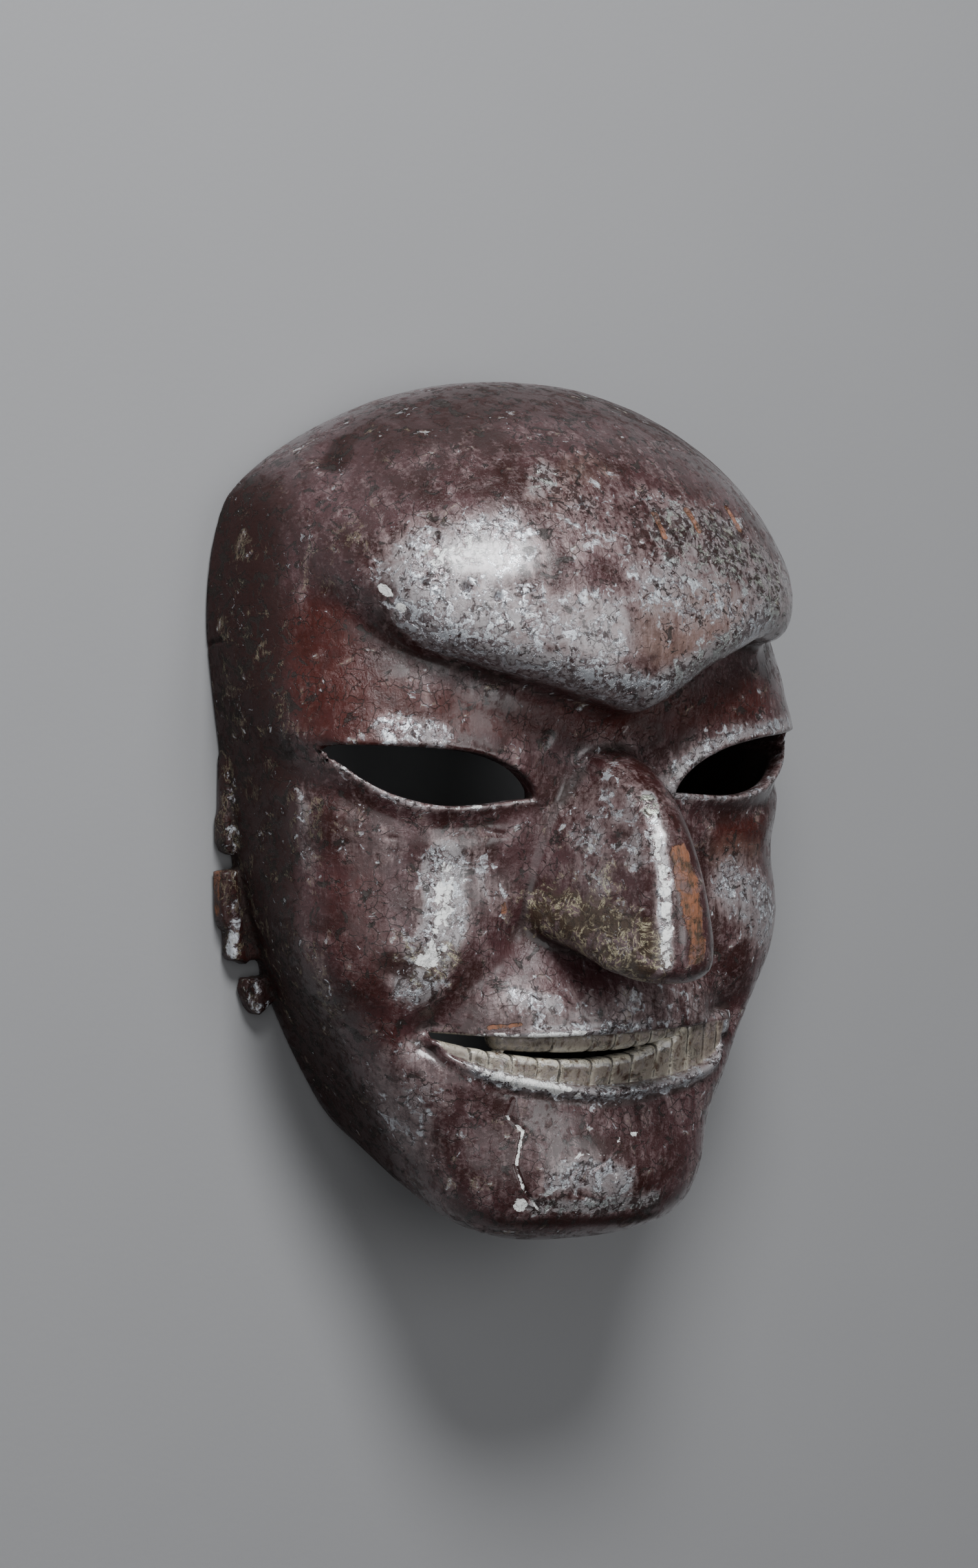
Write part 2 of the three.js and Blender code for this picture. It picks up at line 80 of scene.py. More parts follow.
# The crown
CROWN_START = 56
CROWN_RISE = 83.8
CROWN_HALF_WIDTH = 103.3
CROWN_PEAK_DEPTH = 18
CROWN_PEAK_END = 1.2
CROWN_BACK_FALL = 64
CROWN_ROUNDNESS = 2.01
CROWN_SWELL = 0.076
CROWN_SWELL_AT = (107, 23)
CROWN_SWELL_FADE = (75, -5)
FOREHEAD_DEPTH = 110.2
FOREHEAD_SQUARENESS = 2.3
FOREHEAD_TOP_SQUARENESS = 2.2
FOREHEAD_TOP = (75, 110)
TEMPLE_DEPTH = 86
TEMPLE_SQUARENESS = 2.35
TEMPLE_SQUARENESS_BELOW = 0.95
TEMPLE_TURN = (62, 25)
BOARD_BLEND = 6

# The brow: a shallow V whose ends turn up at the temples and fade there
BROW_MIDDLE = 34
BROW_POINT_ROUND = 2
BROW_SLOPE = 0.31
BROW_TURN = 66
BROW_TURN_LENGTH = 18
BROW_TURN_RISE = 17
BROW_ROUND = 13
BROW_FADE = 24
BROW_FADE_START = 84
BROW_FADE_END = 98
BROW_MIDDLE_FADE = (7, 14)
BROW_FAR_LIFT = 7
BROW_FAR_RISE = (0, 28)
BROW_FAR_FALL = (72, 48)
SLANT = 0.93

# The jaw
CHIN_BOTTOM = 131.2
JAW_RISE = 0.3
JAW_FLAT_DEPTH = 63
JAW_BLEND = 12
JAW_RIM_BLEND = 22
JAW_RIM_START = 40

# Cheek, muzzle and chin: centre, radii and blend width
CHEEK = ((54, -34, 41), (36, 30, 30), 12)
MUZZLE = ((0, -64, 50), (50, 25, 35), 12)
CHIN = ((0, -110.5, 58), (46, 21.5, 26), 14)

# The nose: (height, size), from the tip to the bridge
NOSE_BOTTOM = -60
NOSE_TOP = 30
BRIDGE_TOP = 27
NOSE_RIDGE = (
    (-60, 100), (-53, 108), (-50, 118), (-46, 123.5), (-38, 126), (-27, 124.8), (-14, 121.8),
    (0.7, 116), (8.2, 110), (14.4, 102), (18, 96), (21, 88), (24, 79), (30, 62),
)
NOSE_RIDGE_RADIUS = (
    (-60, 15), (-38, 15.5), (-27, 14), (-14, 12), (0, 10), (8, 9.5), (14, 9.5), (24, 9),
)
NOSE_BASE_RADIUS = (
    (-60, 24), (-44, 26), (-36, 27), (-23, 26.5), (-11, 25.5), (2, 22),
    (11, 16), (18, 11), (24, 8), (30, 7),
)
NOSE_FOOT = 76
NOSE_SINK = 8
NOSE_SLOPE_SHARE = 0.8
NOSTRIL_LINE = 41
NOSTRIL_SLOPE = 0.27
NOSTRIL_DEPTH = 82
NOSTRIL_BLEND = 7
WING_ROUND = 8
WING_ROUND_START = (104, 86)
NOSE_JOIN = 4.5
WING_JOIN = 2.5
NOSE_SIDE_BOTTOM = (-28, -12)
NOSE_SIDE_TOP = (24, 16)
WING_HOLLOW_AT = (30, -35)

# Fine carving beside an edge or a line: distance from it, width and height
LID_BEAD = (0.8, 1.4, 0.5)
LID_ROLL = (1, 6, 1.4)
LID_GROOVE = (6.5, 4, 2.0)
LID_GROOVE_START = (-0.05, 0.2)
BROW_GROOVE = (11, 5, 0.5)
SMILE_LINE_AT = ((23, -31, 0), (57, -62, 0))
SMILE_LINE = (0, 8, 2.4)
WING_HOLLOW = (0, 6.5, 2.0)
MOUTH_CORNER = (0, 9.5, 5)
LIP_BEAD = (1.8, 1.8, 1.7)
LIP_GROOVE = (5.5, 2.2, 0.5)
UPPER_LID_START = (-2, 3)
LOWER_LIP_START = (2, -4)
FACE_FRONT = (25, 45)

# The eye holes: corners, height and peak of each lid, and how much thinner the wood is round them
EYE_INNER = (28, 8)
EYE_OUTER = (93.5, 26)
UPPER_LID = (8.4, 0.335)
LOWER_LID = (10.6, 0.57)
LID_FULLNESS = 0.9
EYE_THINNING = 3.5
EYE_THINNING_WIDTH = 12
EYE_THINNING_START = (40, 55)
HOLE_EDGE = 1.1
EYE_TIP = (0.94, 0.99)
EYE_TIP_CLOSE = 2
HOLE_START = 36

# The mouth, half width, corner height and fullness on each side, and the two rows of teeth
MOUTH_NEAR = (57.5, -65.4, 0.42)
MOUTH_FAR = (53.5, -67.4, 0.28)
MOUTH_TOP = -67.4
MOUTH_BOTTOM = -85
MOUTH_MIDDLE_ROUND = 4
UPPER_GAPS = (-21.3, -7.3, 1.7, 10.7, 17, 24.7, 31)
LOWER_GAPS = (-48, -42, -34.3, -25.3, -17.3, -5.3, 2.7, 10.7, 20.7, 27.7, 35, 43, 50)
UPPER_ROW = (-38.5, 37.5)
UPPER_ROW_SLOPE = 0.4
UPPER_ROW_LEVEL = -72
LOWER_ROW_HALF = 60
UPPER_EDGE = -73.3
UPPER_EDGE_MIDDLE = -4
UPPER_EDGE_BOW = 0.002
UPPER_EDGE_LIFT = 3.5
UPPER_EDGE_END = (27, 38)
LOWER_EDGE = -75.9
LOWER_EDGE_NEAR_BOW = 0.0026
LOWER_EDGE_FAR_BOW = 0.0075
ROW_TURN = 1.2
BEHIND_UPPER_LIP = 3
BEHIND_LOWER_LIP = 4
TEETH_SET_BACK = 2.4
TEETH_THICKNESS = 8
TEETH_ROUND = 3.0
GAP_WIDTH = 0.8
GAP_DEPTH = 0.4
TOOTH_NOTCH = (0, 1.1, 0.35)

# The hollow
HOLLOW_BLEND = 7
LEAST_WALL = 4.5
HOLLOW_ROUND = 24
HOLLOW_BROW_RAISE = 8
NOSE_HOLLOW = ((0, -4, 70), (0, -30, 78), 11, 16)
NOSE_HOLLOW_BLEND = 10
HOLLOW_EDGE = 2.5
RIM_EDGE = 1.6

# The ear: outlines of its three leaves as (distance from the middle, height)
EAR_LEAVES = (
    (
        (86, 24), (96.8, 21), (97, 14), (97.2, 4), (98.2, 0), (98.2, -7), (96.5, -10.5), (94, -11.7),
        (84, -11.7),
    ),
    (
        (84, -15.5), (96.5, -15.5), (98.7, -16.2), (98.6, -27.6), (98.1, -32.5), (97, -35), (95.7, -36.2),
        (95.4, -44), (94.3, -45.5), (90.6, -46.4), (88.2, -47.4), (86.8, -46.1), (80, -46),
    ),
    (
        (76, -50.3), (84, -50.3), (89.2, -50.8), (90, -54.4), (89.2, -57.7), (87.8, -60.6),
        (85.5, -63.1), (83.6, -63.9), (81.3, -62.1), (78.5, -60), (74, -58),
    ),
)
EAR_THICKNESS = 7
# The space that holds the ears: distance from the middle, bottom, top and height over the rim
EAR_SPACE = (66, -76, 40, 22)
# Distance from the middle, width and height, and how both lean outwards with height
EAR_RIDGE = (93.5, 2.2, 0.8)
EAR_GROOVE = (90, 1.6, 0.6)
EAR_RIDGE_LEAN = 0.12
EAR_RIDGE_LEVEL = -30
EAR_RIDGE_START = 3
EAR_INSET = 0.4
EAR_ROUND = 1.8
EAR_JOIN = 1.5
TEETH_JOIN = 0.7
FAR_AWAY = 30.0


def smin(a, b, k):
    """Smooth minimum over a blend width k."""
    h = np.clip(0.5 + 0.5 * (b - a) / k, 0, 1)
    return b + (a - b) * h - k * h * (1 - h)


def smax(a, b, k):
    return -smin(-a, -b, k)


def smoothstep(start, end, at):
    u = np.clip((at - start) / (end - start), 0, 1)
    return u * u * (3 - 2 * u)


def bump(at, width):
    return np.exp(-(at / width) ** 2)


def band(distance, shape):
    """A rounded band beside an edge, from its distance, width and height."""
    at, width, height = shape
    return height * bump(distance - at, width)


def along(table, at):
    """A smooth curve through the (position, value) pairs of a table."""
    places, values = np.array(table, float).T
    slopes = np.gradient(values, places)
    i = np.clip(np.searchsorted(places, at) - 1, 0, len(places) - 2)
    span = places[i + 1] - places[i]
    t = np.clip((at - places[i]) / span, 0, 1)
    t2 = t * t
    t3 = t2 * t
    return (
        (2 * t3 - 3 * t2 + 1) * values[i] + (t3 - 2 * t2 + t) * span * slopes[i]
        + (3 * t2 - 2 * t3) * values[i + 1] + (t3 - t2) * span * slopes[i + 1]
    )


def ellipsoid(x, y, z, centre, radii):
    px, py, pz = x - centre[0], y - centre[1], z - centre[2]
    k0 = np.sqrt((px / radii[0]) ** 2 + (py / radii[1]) ** 2 + (pz / radii[2]) ** 2)
    k1 = np.sqrt((px / radii[0] ** 2) ** 2 + (py / radii[1] ** 2) ** 2 + (pz / radii[2] ** 2) ** 2)
    return k0 * (k0 - 1) / (k1 + 1e-9)


def column(x, z, a, b, n):
    """A straight column whose plan is a rounded rectangle of half width a and depth b."""
    g = ((np.abs(x) / a) ** n + (np.abs(z) / b) ** n) ** (1 / n) + 1e-9
    r = np.sqrt(x * x + z * z)
    return np.where(r < 1e-6, -np.minimum(a, b), (1 - 1 / g) * r)


def crown(x, y, z, a, b, n):
    """The same column closed by the crown above CROWN_START."""
    m = CROWN_ROUNDNESS
    up = np.maximum(y - CROWN_START, 0)
    u = up / CROWN_RISE
    z0 = CROWN_PEAK_DEPTH * np.clip(u, 0, CROWN_PEAK_END)
    zt = np.where(z > z0, (z - z0) / (b - z0), (z0 - z) / CROWN_BACK_FALL)
    g = (((np.abs(x) / a) ** n + zt ** n) ** (m / n) + u ** m) ** (1 / m) + 1e-9
    r = np.sqrt(x * x + (z - z0) ** 2 + up ** 2)
    return np.where(r < 1e-6, -a, (1 - 1 / g) * r)


def crown_swell(y, z):
    """How much wider the crown is towards the rim."""
    middle, width = CROWN_SWELL_AT
    return 1 + CROWN_SWELL * bump(y - middle, width) * smoothstep(*CROWN_SWELL_FADE, z)


def brow_line(x):
    ax = np.sqrt(x * x + BROW_POINT_ROUND ** 2)
    turn = 1 - bump(np.maximum(ax - BROW_TURN, 0), BROW_TURN_LENGTH)
    far_lift = BROW_FAR_LIFT * smoothstep(*BROW_FAR_RISE, x) * smoothstep(*BROW_FAR_FALL, x)
    return BROW_MIDDLE + BROW_SLOPE * ax + BROW_TURN_RISE * turn + far_lift


def forehead(x, y, z, rise, edge):
    top = smoothstep(*FOREHEAD_TOP, y)
    squareness = FOREHEAD_SQUARENESS + (FOREHEAD_TOP_SQUARENESS - FOREHEAD_SQUARENESS) * top
    dome = crown(x / crown_swell(y, z), y, z, CROWN_HALF_WIDTH, FOREHEAD_DEPTH, squareness)
    return smax(dome, (brow_line(x) + rise - y) * SLANT, edge)


def board(x, y, z):
    """The face as a bent board from the chin to the crown."""
    flare = 1 + along(FRONT_FLARE, y) * np.clip(z / FLARE_DEPTH, 0, FLARE_END)
    face = column(x / flare, z, along(HALF_WIDTH, y), along(FACE_DEPTH, y), along(SQUARENESS, y))
    temple = TEMPLE_SQUARENESS + TEMPLE_SQUARENESS_BELOW * smoothstep(*TEMPLE_TURN, y)
    back = crown(x / crown_swell(y, z), y, z, CROWN_HALF_WIDTH - 1, TEMPLE_DEPTH, temple)
    return smax(face, back, BOARD_BLEND)


def jaw(y, z):
    rise = JAW_RISE * np.maximum(JAW_FLAT_DEPTH - z, 0)
    return (rise - y - CHIN_BOTTOM) / math.hypot(1, JAW_RISE)


def beside_eye(x, y):
    """Share of the way from the inner to the outer corner, height over that line, and its length."""
    dx, dy = EYE_OUTER[0] - EYE_INNER[0], EYE_OUTER[1] - EYE_INNER[1]
    length = math.hypot(dx, dy)
    px, py = np.abs(x) - EYE_INNER[0], y - EYE_INNER[1]
    return (px * dx + py * dy) / length ** 2, (py * dx - px * dy) / length, length


def lid(s, height, peak):
    warp = math.log(0.5) / math.log(peak)
    return height * np.sin(np.pi * np.clip(s, 1e-4, 1 - 1e-4) ** warp) ** LID_FULLNESS


def eye_distance(x, y):
    """Distance from the edge of the eye hole seen from the front, negative in the hole."""
    s, t, length = beside_eye(x, y)
    top, bottom = lid(s, *UPPER_LID), -lid(s, *LOWER_LID)
    step = 0.01
    top_slope = (lid(s + step, *UPPER_LID) - top) / (step * length)
    bottom_slope = (-lid(s + step, *LOWER_LID) - bottom) / (step * length)
    d = np.maximum((t - top) / np.hypot(1, top_slope), (bottom - t) / np.hypot(1, bottom_slope))
    past = np.maximum(np.maximum(-s, s - 1), 0) * length
    return np.where(past > 0, np.hypot(past, t), d)


def mouth_side(x):
    """Corner height, openness and fullness of the mouth on the side of each x."""
    half = np.where(x < 0, MOUTH_NEAR[0], MOUTH_FAR[0])
    corner = np.where(x < 0, MOUTH_NEAR[1], MOUTH_FAR[1])
    fullness = np.where(x < 0, MOUTH_NEAR[2], MOUTH_FAR[2])
    return half, corner, fullness, np.clip(1 - (x / half) ** 2, 1e-4, 1)


def mouth_top(x):
    _, corner, _, opening = mouth_side(x)
    return corner + (MOUTH_TOP - corner) * opening


def mouth_bottom(x):
    """On the near side the lower lip falls almost straight from the corner to the middle."""
    half, corner, fullness, opening = mouth_side(x)
    run = np.hypot(x, MOUTH_MIDDLE_ROUND) - MOUTH_MIDDLE_ROUND
    whole = np.hypot(half, MOUTH_MIDDLE_ROUND) - MOUTH_MIDDLE_ROUND
    opening = np.where(x < 0, np.clip(1 - run / whole, 1e-4, 1), opening)
    return corner + (MOUTH_BOTTOM - corner) * opening ** fullness


def mouth_distance(x, y):
    half, corner, _, _ = mouth_side(x)
    past = np.maximum(np.abs(x) - half, 0)
    inside = np.maximum(y - mouth_top(x), mouth_bottom(x) - y)
    return np.where(past > 0, np.hypot(past, y - corner), inside)


def nose(x, y, z):
    """At each height the hull of a small ridge circle and a wide base circle."""
    yc = np.clip(y, NOSE_BOTTOM, NOSE_TOP)
    top = along(NOSE_RIDGE, yc)
    slope = along(NOSE_RIDGE, yc + 0.5) - along(NOSE_RIDGE, yc - 0.5)
    wide = along(NOSE_BASE_RADIUS, yc)
    narrow = along(NOSE_RIDGE_RADIUS, yc)
    h = np.maximum(top - narrow - NOSE_FOOT + NOSE_SINK, wide - narrow + 1)
    px, pz = np.abs(x), z - (top - narrow - h)
    sine = (wide - narrow) / h
    cosine = np.sqrt(np.maximum(1 - sine * sine, 1e-6))
    k = cosine * pz - sine * px
    f = cosine * px + sine * pz - wide
    f = np.where(k < 0, np.hypot(px, pz) - wide, f)
    f = np.where(k > cosine * h, np.hypot(px, pz - h) - narrow, f)
    f = f / np.hypot(1, NOSE_SLOPE_SHARE * slope)
    blend = NOSTRIL_BLEND + WING_ROUND * smoothstep(*WING_ROUND_START, z)
    f = smax(f, -NOSTRIL_LINE - NOSTRIL_SLOPE * (z - NOSTRIL_DEPTH) - y, blend)
    return np.maximum(f, y - BRIDGE_TOP)


def stroke_distance(x, y, z, stroke):
    """Distance from a line of straight runs through the points of a stroke."""
    nearest = np.full(np.shape(x), 1e9)
    for a, b in zip(stroke[:-1], stroke[1:]):
        a, d = np.array(a, float), np.subtract(b, a).astype(float)
        t = ((x - a[0]) * d[0] + (y - a[1]) * d[1] + (z - a[2]) * d[2]) / max(d @ d, 1e-9)
        t = np.clip(t, 0, 1)
        px, py, pz = x - a[0] - t * d[0], y - a[1] - t * d[1], z - a[2] - t * d[2]
        nearest = np.minimum(nearest, np.sqrt(px * px + py * py + pz * pz))
    return nearest


def plain_face(x, y, z):
    """The head with cheeks, muzzle and chin, before the fine carving."""
    ax = np.abs(x)
    edge = BROW_ROUND + BROW_FADE * smoothstep(BROW_FADE_START, BROW_FADE_END, ax)
    edge = edge + BROW_MIDDLE_FADE[0] * bump(x, BROW_MIDDLE_FADE[1])
    head = smin(forehead(x, y, z, 0, edge), board(x, y, z), BOARD_BLEND)
    to_rim = smoothstep(JAW_RIM_START, 0, z)
    f = smax(head, jaw(y, z), JAW_BLEND + (JAW_RIM_BLEND - JAW_BLEND) * to_rim)
    f = smin(f, ellipsoid(ax, y, z, *CHEEK[:2]), CHEEK[2])
    f = smin(f, ellipsoid(x, y, z, *MUZZLE[:2]), MUZZLE[2])
    return smin(f, ellipsoid(x, y, z, *CHIN[:2]), CHIN[2])


def carved_face(x, y, z, plain):
    """Lids, lips, creases and nose cut into the plain face."""
    ax = np.abs(x)
    d = eye_distance(x, y)
    s, t, _ = beside_eye(x, y)
    upper = smoothstep(*UPPER_LID_START, t)
    half, corner, _, _ = mouth_side(x)
    dm = mouth_distance(x, y)
    lower_lip = smoothstep(*LOWER_LIP_START, y - corner)
    raised = band(d, LID_BEAD) + upper * band(d, LID_ROLL) + lower_lip * band(dm, LIP_BEAD)
    cut = (1 - upper) * band(d, LID_GROOVE) * smoothstep(*LID_GROOVE_START, s)
    cut = cut + upper * band(d, BROW_GROOVE)
    cut = cut + band(stroke_distance(ax, y, 0 * z, SMILE_LINE_AT), SMILE_LINE)
    cut = cut + band(np.hypot(ax - WING_HOLLOW_AT[0], y - WING_HOLLOW_AT[1]), WING_HOLLOW)
    cut = cut + band(np.hypot(ax - half, y - corner), MOUTH_CORNER) + lower_lip * band(dm, LIP_GROOVE)
    f = plain + smoothstep(*FACE_FRONT, z) * (cut - raised)
    beside_nose = smoothstep(*NOSE_SIDE_BOTTOM, y) * smoothstep(*NOSE_SIDE_TOP, y)
    return smin(f, nose(x, y, z), WING_JOIN + (NOSE_JOIN - WING_JOIN) * beside_nose)


def hollow(x, y, z, wall, face):
    """The hollow behind the face, negative in its air and kept clear of the carved face."""
    brow = forehead(x, y, z, HOLLOW_BROW_RAISE, HOLLOW_ROUND)
    f = smax(smin(brow, board(x, y, z), HOLLOW_BLEND), jaw(y, z), HOLLOW_ROUND) + wall
    beside = np.maximum(eye_distance(x, y), 0)
    f = f - EYE_THINNING * bump(beside, EYE_THINNING_WIDTH) * smoothstep(*EYE_THINNING_START, z)
    start, end, narrow, wide = NOSE_HOLLOW
    share = np.clip((start[1] - y) / (start[1] - end[1]), 0, 1)
    around = stroke_distance(x, y, z, (start, end)) - (narrow + (wide - narrow) * share)
    return np.maximum(smin(f, around, NOSE_HOLLOW_BLEND), face + LEAST_WALL)


def upper_edge(x):
    """The biting edge of the upper row, which lifts at its far end."""
    bow = UPPER_EDGE_BOW * (x - UPPER_EDGE_MIDDLE) ** 2
    return UPPER_EDGE + bow + UPPER_EDGE_LIFT * smoothstep(*UPPER_EDGE_END, x)


def lower_edge(x):
    return LOWER_EDGE + np.where(x > 0, LOWER_EDGE_FAR_BOW, LOWER_EDGE_NEAR_BOW) * x * x


def over_slit(x, y):
    """Height over the middle of the slit between the two rows."""
    return y - (upper_edge(x) + lower_edge(x)) / 2


def gap_distance(x, gaps):
    return np.min(np.abs(x[..., None] - np.array(gaps, float)), axis=-1)


def tooth_gap(x, to_upper):
    """Distance from the nearest gap between two teeth of the row."""
    return np.where(to_upper, gap_distance(x, UPPER_GAPS), gap_distance(x, LOWER_GAPS))


def teeth(x, y, z, plain):
    """Two rows of carved teeth set back behind the lips, with grooves between the teeth."""
    to_upper = smoothstep(-ROW_TURN, ROW_TURN, over_slit(x, y))
    gap = tooth_gap(x, to_upper > 0.5)
    depth = plain + TEETH_SET_BACK + TEETH_THICKNESS / 2
    layer = np.abs(depth) - TEETH_THICKNESS / 2 + np.where(depth > 0, GAP_DEPTH * bump(gap, GAP_WIDTH), 0)
    notch = band(gap, TOOTH_NOTCH)
    upper = np.maximum(y - mouth_top(x) - BEHIND_UPPER_LIP, upper_edge(x) + notch - y)
    near_end = UPPER_ROW[0] - UPPER_ROW_SLOPE * (y - UPPER_ROW_LEVEL)
    upper = np.maximum(upper, np.maximum(near_end - x, x - UPPER_ROW[1]))
    top = np.minimum(lower_edge(x), mouth_top(x) + BEHIND_UPPER_LIP)
    lower = np.maximum(y - top + notch, mouth_bottom(x) - BEHIND_LOWER_LIP - y)
    lower = np.maximum(lower, np.abs(x) - LOWER_ROW_HALF)
    return smax(layer, np.minimum(upper, lower), TEETH_ROUND)


def outline_distance(x, y, outline):
    """Signed distance from a closed outline in the plane, negative inside."""
    nearest = np.full(np.shape(x), 1e9)
    inside = np.zeros(np.shape(x), bool)
    for (ax, ay), (bx, by) in zip(outline, outline[1:] + outline[:1]):
        dx, dy = bx - ax, by - ay
        t = np.clip(((x - ax) * dx + (y - ay) * dy) / (dx * dx + dy * dy), 0, 1)
        nearest = np.minimum(nearest, np.hypot(x - ax - t * dx, y - ay - t * dy))
        if ay != by:
            inside ^= ((y >= min(ay, by)) & (y < max(ay, by))) & (x < ax + (y - ay) * dx / dy)
    return np.where(inside, -nearest, nearest)


def ears(x, y, z):
    """Three notched leaves beside the head, standing on the rim."""
    inner, bottom, top, front = EAR_SPACE
    near = (np.abs(x) > inner) & (y > bottom) & (y < top) & (z < front)
    ax, yn, zn = np.abs(x[near]), y[near], z[near]
    flat = np.full(ax.shape, FAR_AWAY)
    for leaf in EAR_LEAVES:
        flat = np.minimum(flat, outline_distance(ax, yn, leaf))
    across = ax - EAR_RIDGE_LEAN * (yn - EAR_RIDGE_LEVEL)
    ridge = (band(across, EAR_RIDGE) - band(across, EAR_GROOVE)) * (zn > EAR_RIDGE_START)
    plate = np.abs(zn - EAR_THICKNESS / 2) - EAR_THICKNESS / 2 - ridge
    f = np.full(np.shape(x), FAR_AWAY)
    f[near] = smax(flat + EAR_INSET, plate, EAR_ROUND)
    return f


def mask_field(x, y, z, wall):
    """The whole mask, with a wall of the given thickness."""
    plain = plain_face(x, y, z)
    face = carved_face(x, y, z, plain)
    f = smin(face, ears(x, y, z), EAR_JOIN)
    f = smax(f, -hollow(x, y, z, wall, face), HOLLOW_EDGE)
    f = smax(f, -z, RIM_EDGE)
    behind = HOLE_START - z
    tip = EYE_TIP_CLOSE * smoothstep(*EYE_TIP, beside_eye(x, y)[0])
    f = smax(f, -np.maximum(eye_distance(x, y) + tip, behind), HOLE_EDGE)
    f = smax(f, -np.maximum(mouth_distance(x, y), behind), HOLE_EDGE)
    return smin(f, teeth(x, y, z, plain), TEETH_JOIN)


# Points worked out at a time, the step of the coarse lattice and the distance that it passes on
CHUNK = 300000
BLOCK = 4
NEAR_BLOCK = 11.0


def evaluate(field, points):
    """The field at many points, a chunk at a time."""
    parts = [field(*points[i:i + CHUNK].T) for i in range(0, len(points), CHUNK)]
    return np.concatenate(parts)


def sample(field, axes):
    """The field on a lattice, worked out in full only near the surface."""
    coarse_axes = [a[BLOCK // 2::BLOCK] if len(a[BLOCK // 2::BLOCK]) * BLOCK >= len(a)
                   else np.append(a[BLOCK // 2::BLOCK], a[-1]) for a in axes]
    grid = np.stack(np.meshgrid(*coarse_axes, indexing="ij"), -1)
    values = evaluate(field, grid.reshape(-1, 3)).reshape(grid.shape[:3])
    for axis, places in enumerate(axes):
        values = np.repeat(values, BLOCK, axis)
        values = np.take(values, np.arange(len(places)), axis)
    near = np.nonzero(np.abs(values) < NEAR_BLOCK)
    points = np.stack([a[i] for a, i in zip(axes, near)], 1)
    values[near] = evaluate(field, points)
    return values


def surface_net(field, axes):
    """Vertices and quads of the field's zero, one vertex to each lattice cell that it passes."""
    values = sample(field, axes)
    inside = values < 0
    corners = list(itertools.product((0, 1), repeat=3))
    cells = [len(a) - 1 for a in axes]
    count = np.zeros(cells, np.int8)
    for a, b, c in corners:
        count += inside[a:a + cells[0], b:b + cells[1], c:c + cells[2]]
    crossed = (count > 0) & (count < 8)
    cell = np.argwhere(crossed)
    number = np.full(crossed.shape, -1)
    number[crossed] = np.arange(len(cell))
    total = np.zeros((len(cell), 3))
    hits = np.zeros(len(cell))
    for axis in range(3):
        for start in corners:
            if start[axis]:
                continue
            end = tuple(1 if i == axis else v for i, v in enumerate(start))
            p, q = cell + start, cell + end
            vp, vq = values[tuple(p.T)], values[tuple(q.T)]
            crosses = (vp < 0) != (vq < 0)
            share = np.where(crosses, vp / np.where(vp == vq, 1, vp - vq), 0)[:, None]
            pp = np.stack([axes[i][p[:, i]] for i in range(3)], 1)
            pq = np.stack([axes[i][q[:, i]] for i in range(3)], 1)
            total += np.where(crosses[:, None], pp + (pq - pp) * share, 0)
            hits += crosses
    quads = []
    for axis in range(3):
        u, v = [i for i in range(3) if i != axis]
        low = [slice(None)] * 3
        high = [slice(None)] * 3
        low[axis], high[axis] = slice(0, -1), slice(1, None)
        edge = np.argwhere(inside[tuple(low)] != inside[tuple(high)])
        keep = (edge[:, u] > 0) & (edge[:, v] > 0)
        edge = edge[keep & (edge[:, u] < cells[u]) & (edge[:, v] < cells[v])]
        ring = []
        for back_u, back_v in ((1, 1), (0, 1), (0, 0), (1, 0)):
            c = edge.copy()
            c[:, u] -= back_u
            c[:, v] -= back_v
            ring.append(number[tuple(c.T)])
        quad = np.stack(ring, 1)
        outward = inside[tuple(edge.T)]
        if axis == 1:
            outward = ~outward
        quad[~outward] = quad[~outward][:, ::-1]
        quads.append(quad)
    return total / hits[:, None], np.concatenate(quads)


def gradient(field, points, step=0.3):
    columns = []
    for axis in range(3):
        offset = np.zeros(3)
        offset[axis] = step
        columns.append(evaluate(field, points + offset) - evaluate(field, points - offset))
    return np.stack(columns, 1) / (2 * step)


def settle(field, points, rounds, most=0.8):
    """Moves points onto the field's zero."""
    for _ in range(rounds):
        f = evaluate(field, points)
        g = gradient(field, points)
        move = g * (f / np.maximum((g * g).sum(1), LEAST_SQUARE))[:, None]
        length = np.linalg.norm(move, axis=1, keepdims=True)
        points = points - move * np.minimum(1, most / np.maximum(length, 1e-9))
    return points


# Large primes that scramble a place and a seed into a random value
SPECKLE_PRIMES = (73856093, 19349663, 83492791, 40503)
SPECKLE_MIXER = 1274126177
SPECKLE_OFFSET = 17.3


def speckle(points, wavelength, seed):
    """Smooth random values from -1 to 1 that vary over a wavelength."""
    q = points / wavelength + seed * SPECKLE_OFFSET
    cell = np.floor(q).astype(np.int64)
    t = q - cell
    t = t * t * (3 - 2 * t)
    total = np.zeros(len(points))
    for corner in itertools.product((0, 1), repeat=3):
        a, b, c, d = [part * prime for part, prime in zip((*(cell + corner).T, seed), SPECKLE_PRIMES)]
        mixed = a ^ b ^ c ^ d
        mixed = (mixed ^ (mixed >> 13)) * SPECKLE_MIXER & 0xFFFFFFFF
        value = ((mixed ^ (mixed >> 15)) & 0xFFFF) / 65535
        weight = np.prod(np.where(np.array(corner) == 1, t, 1 - t), axis=1)
        total += value * weight
    return 2 * total - 1


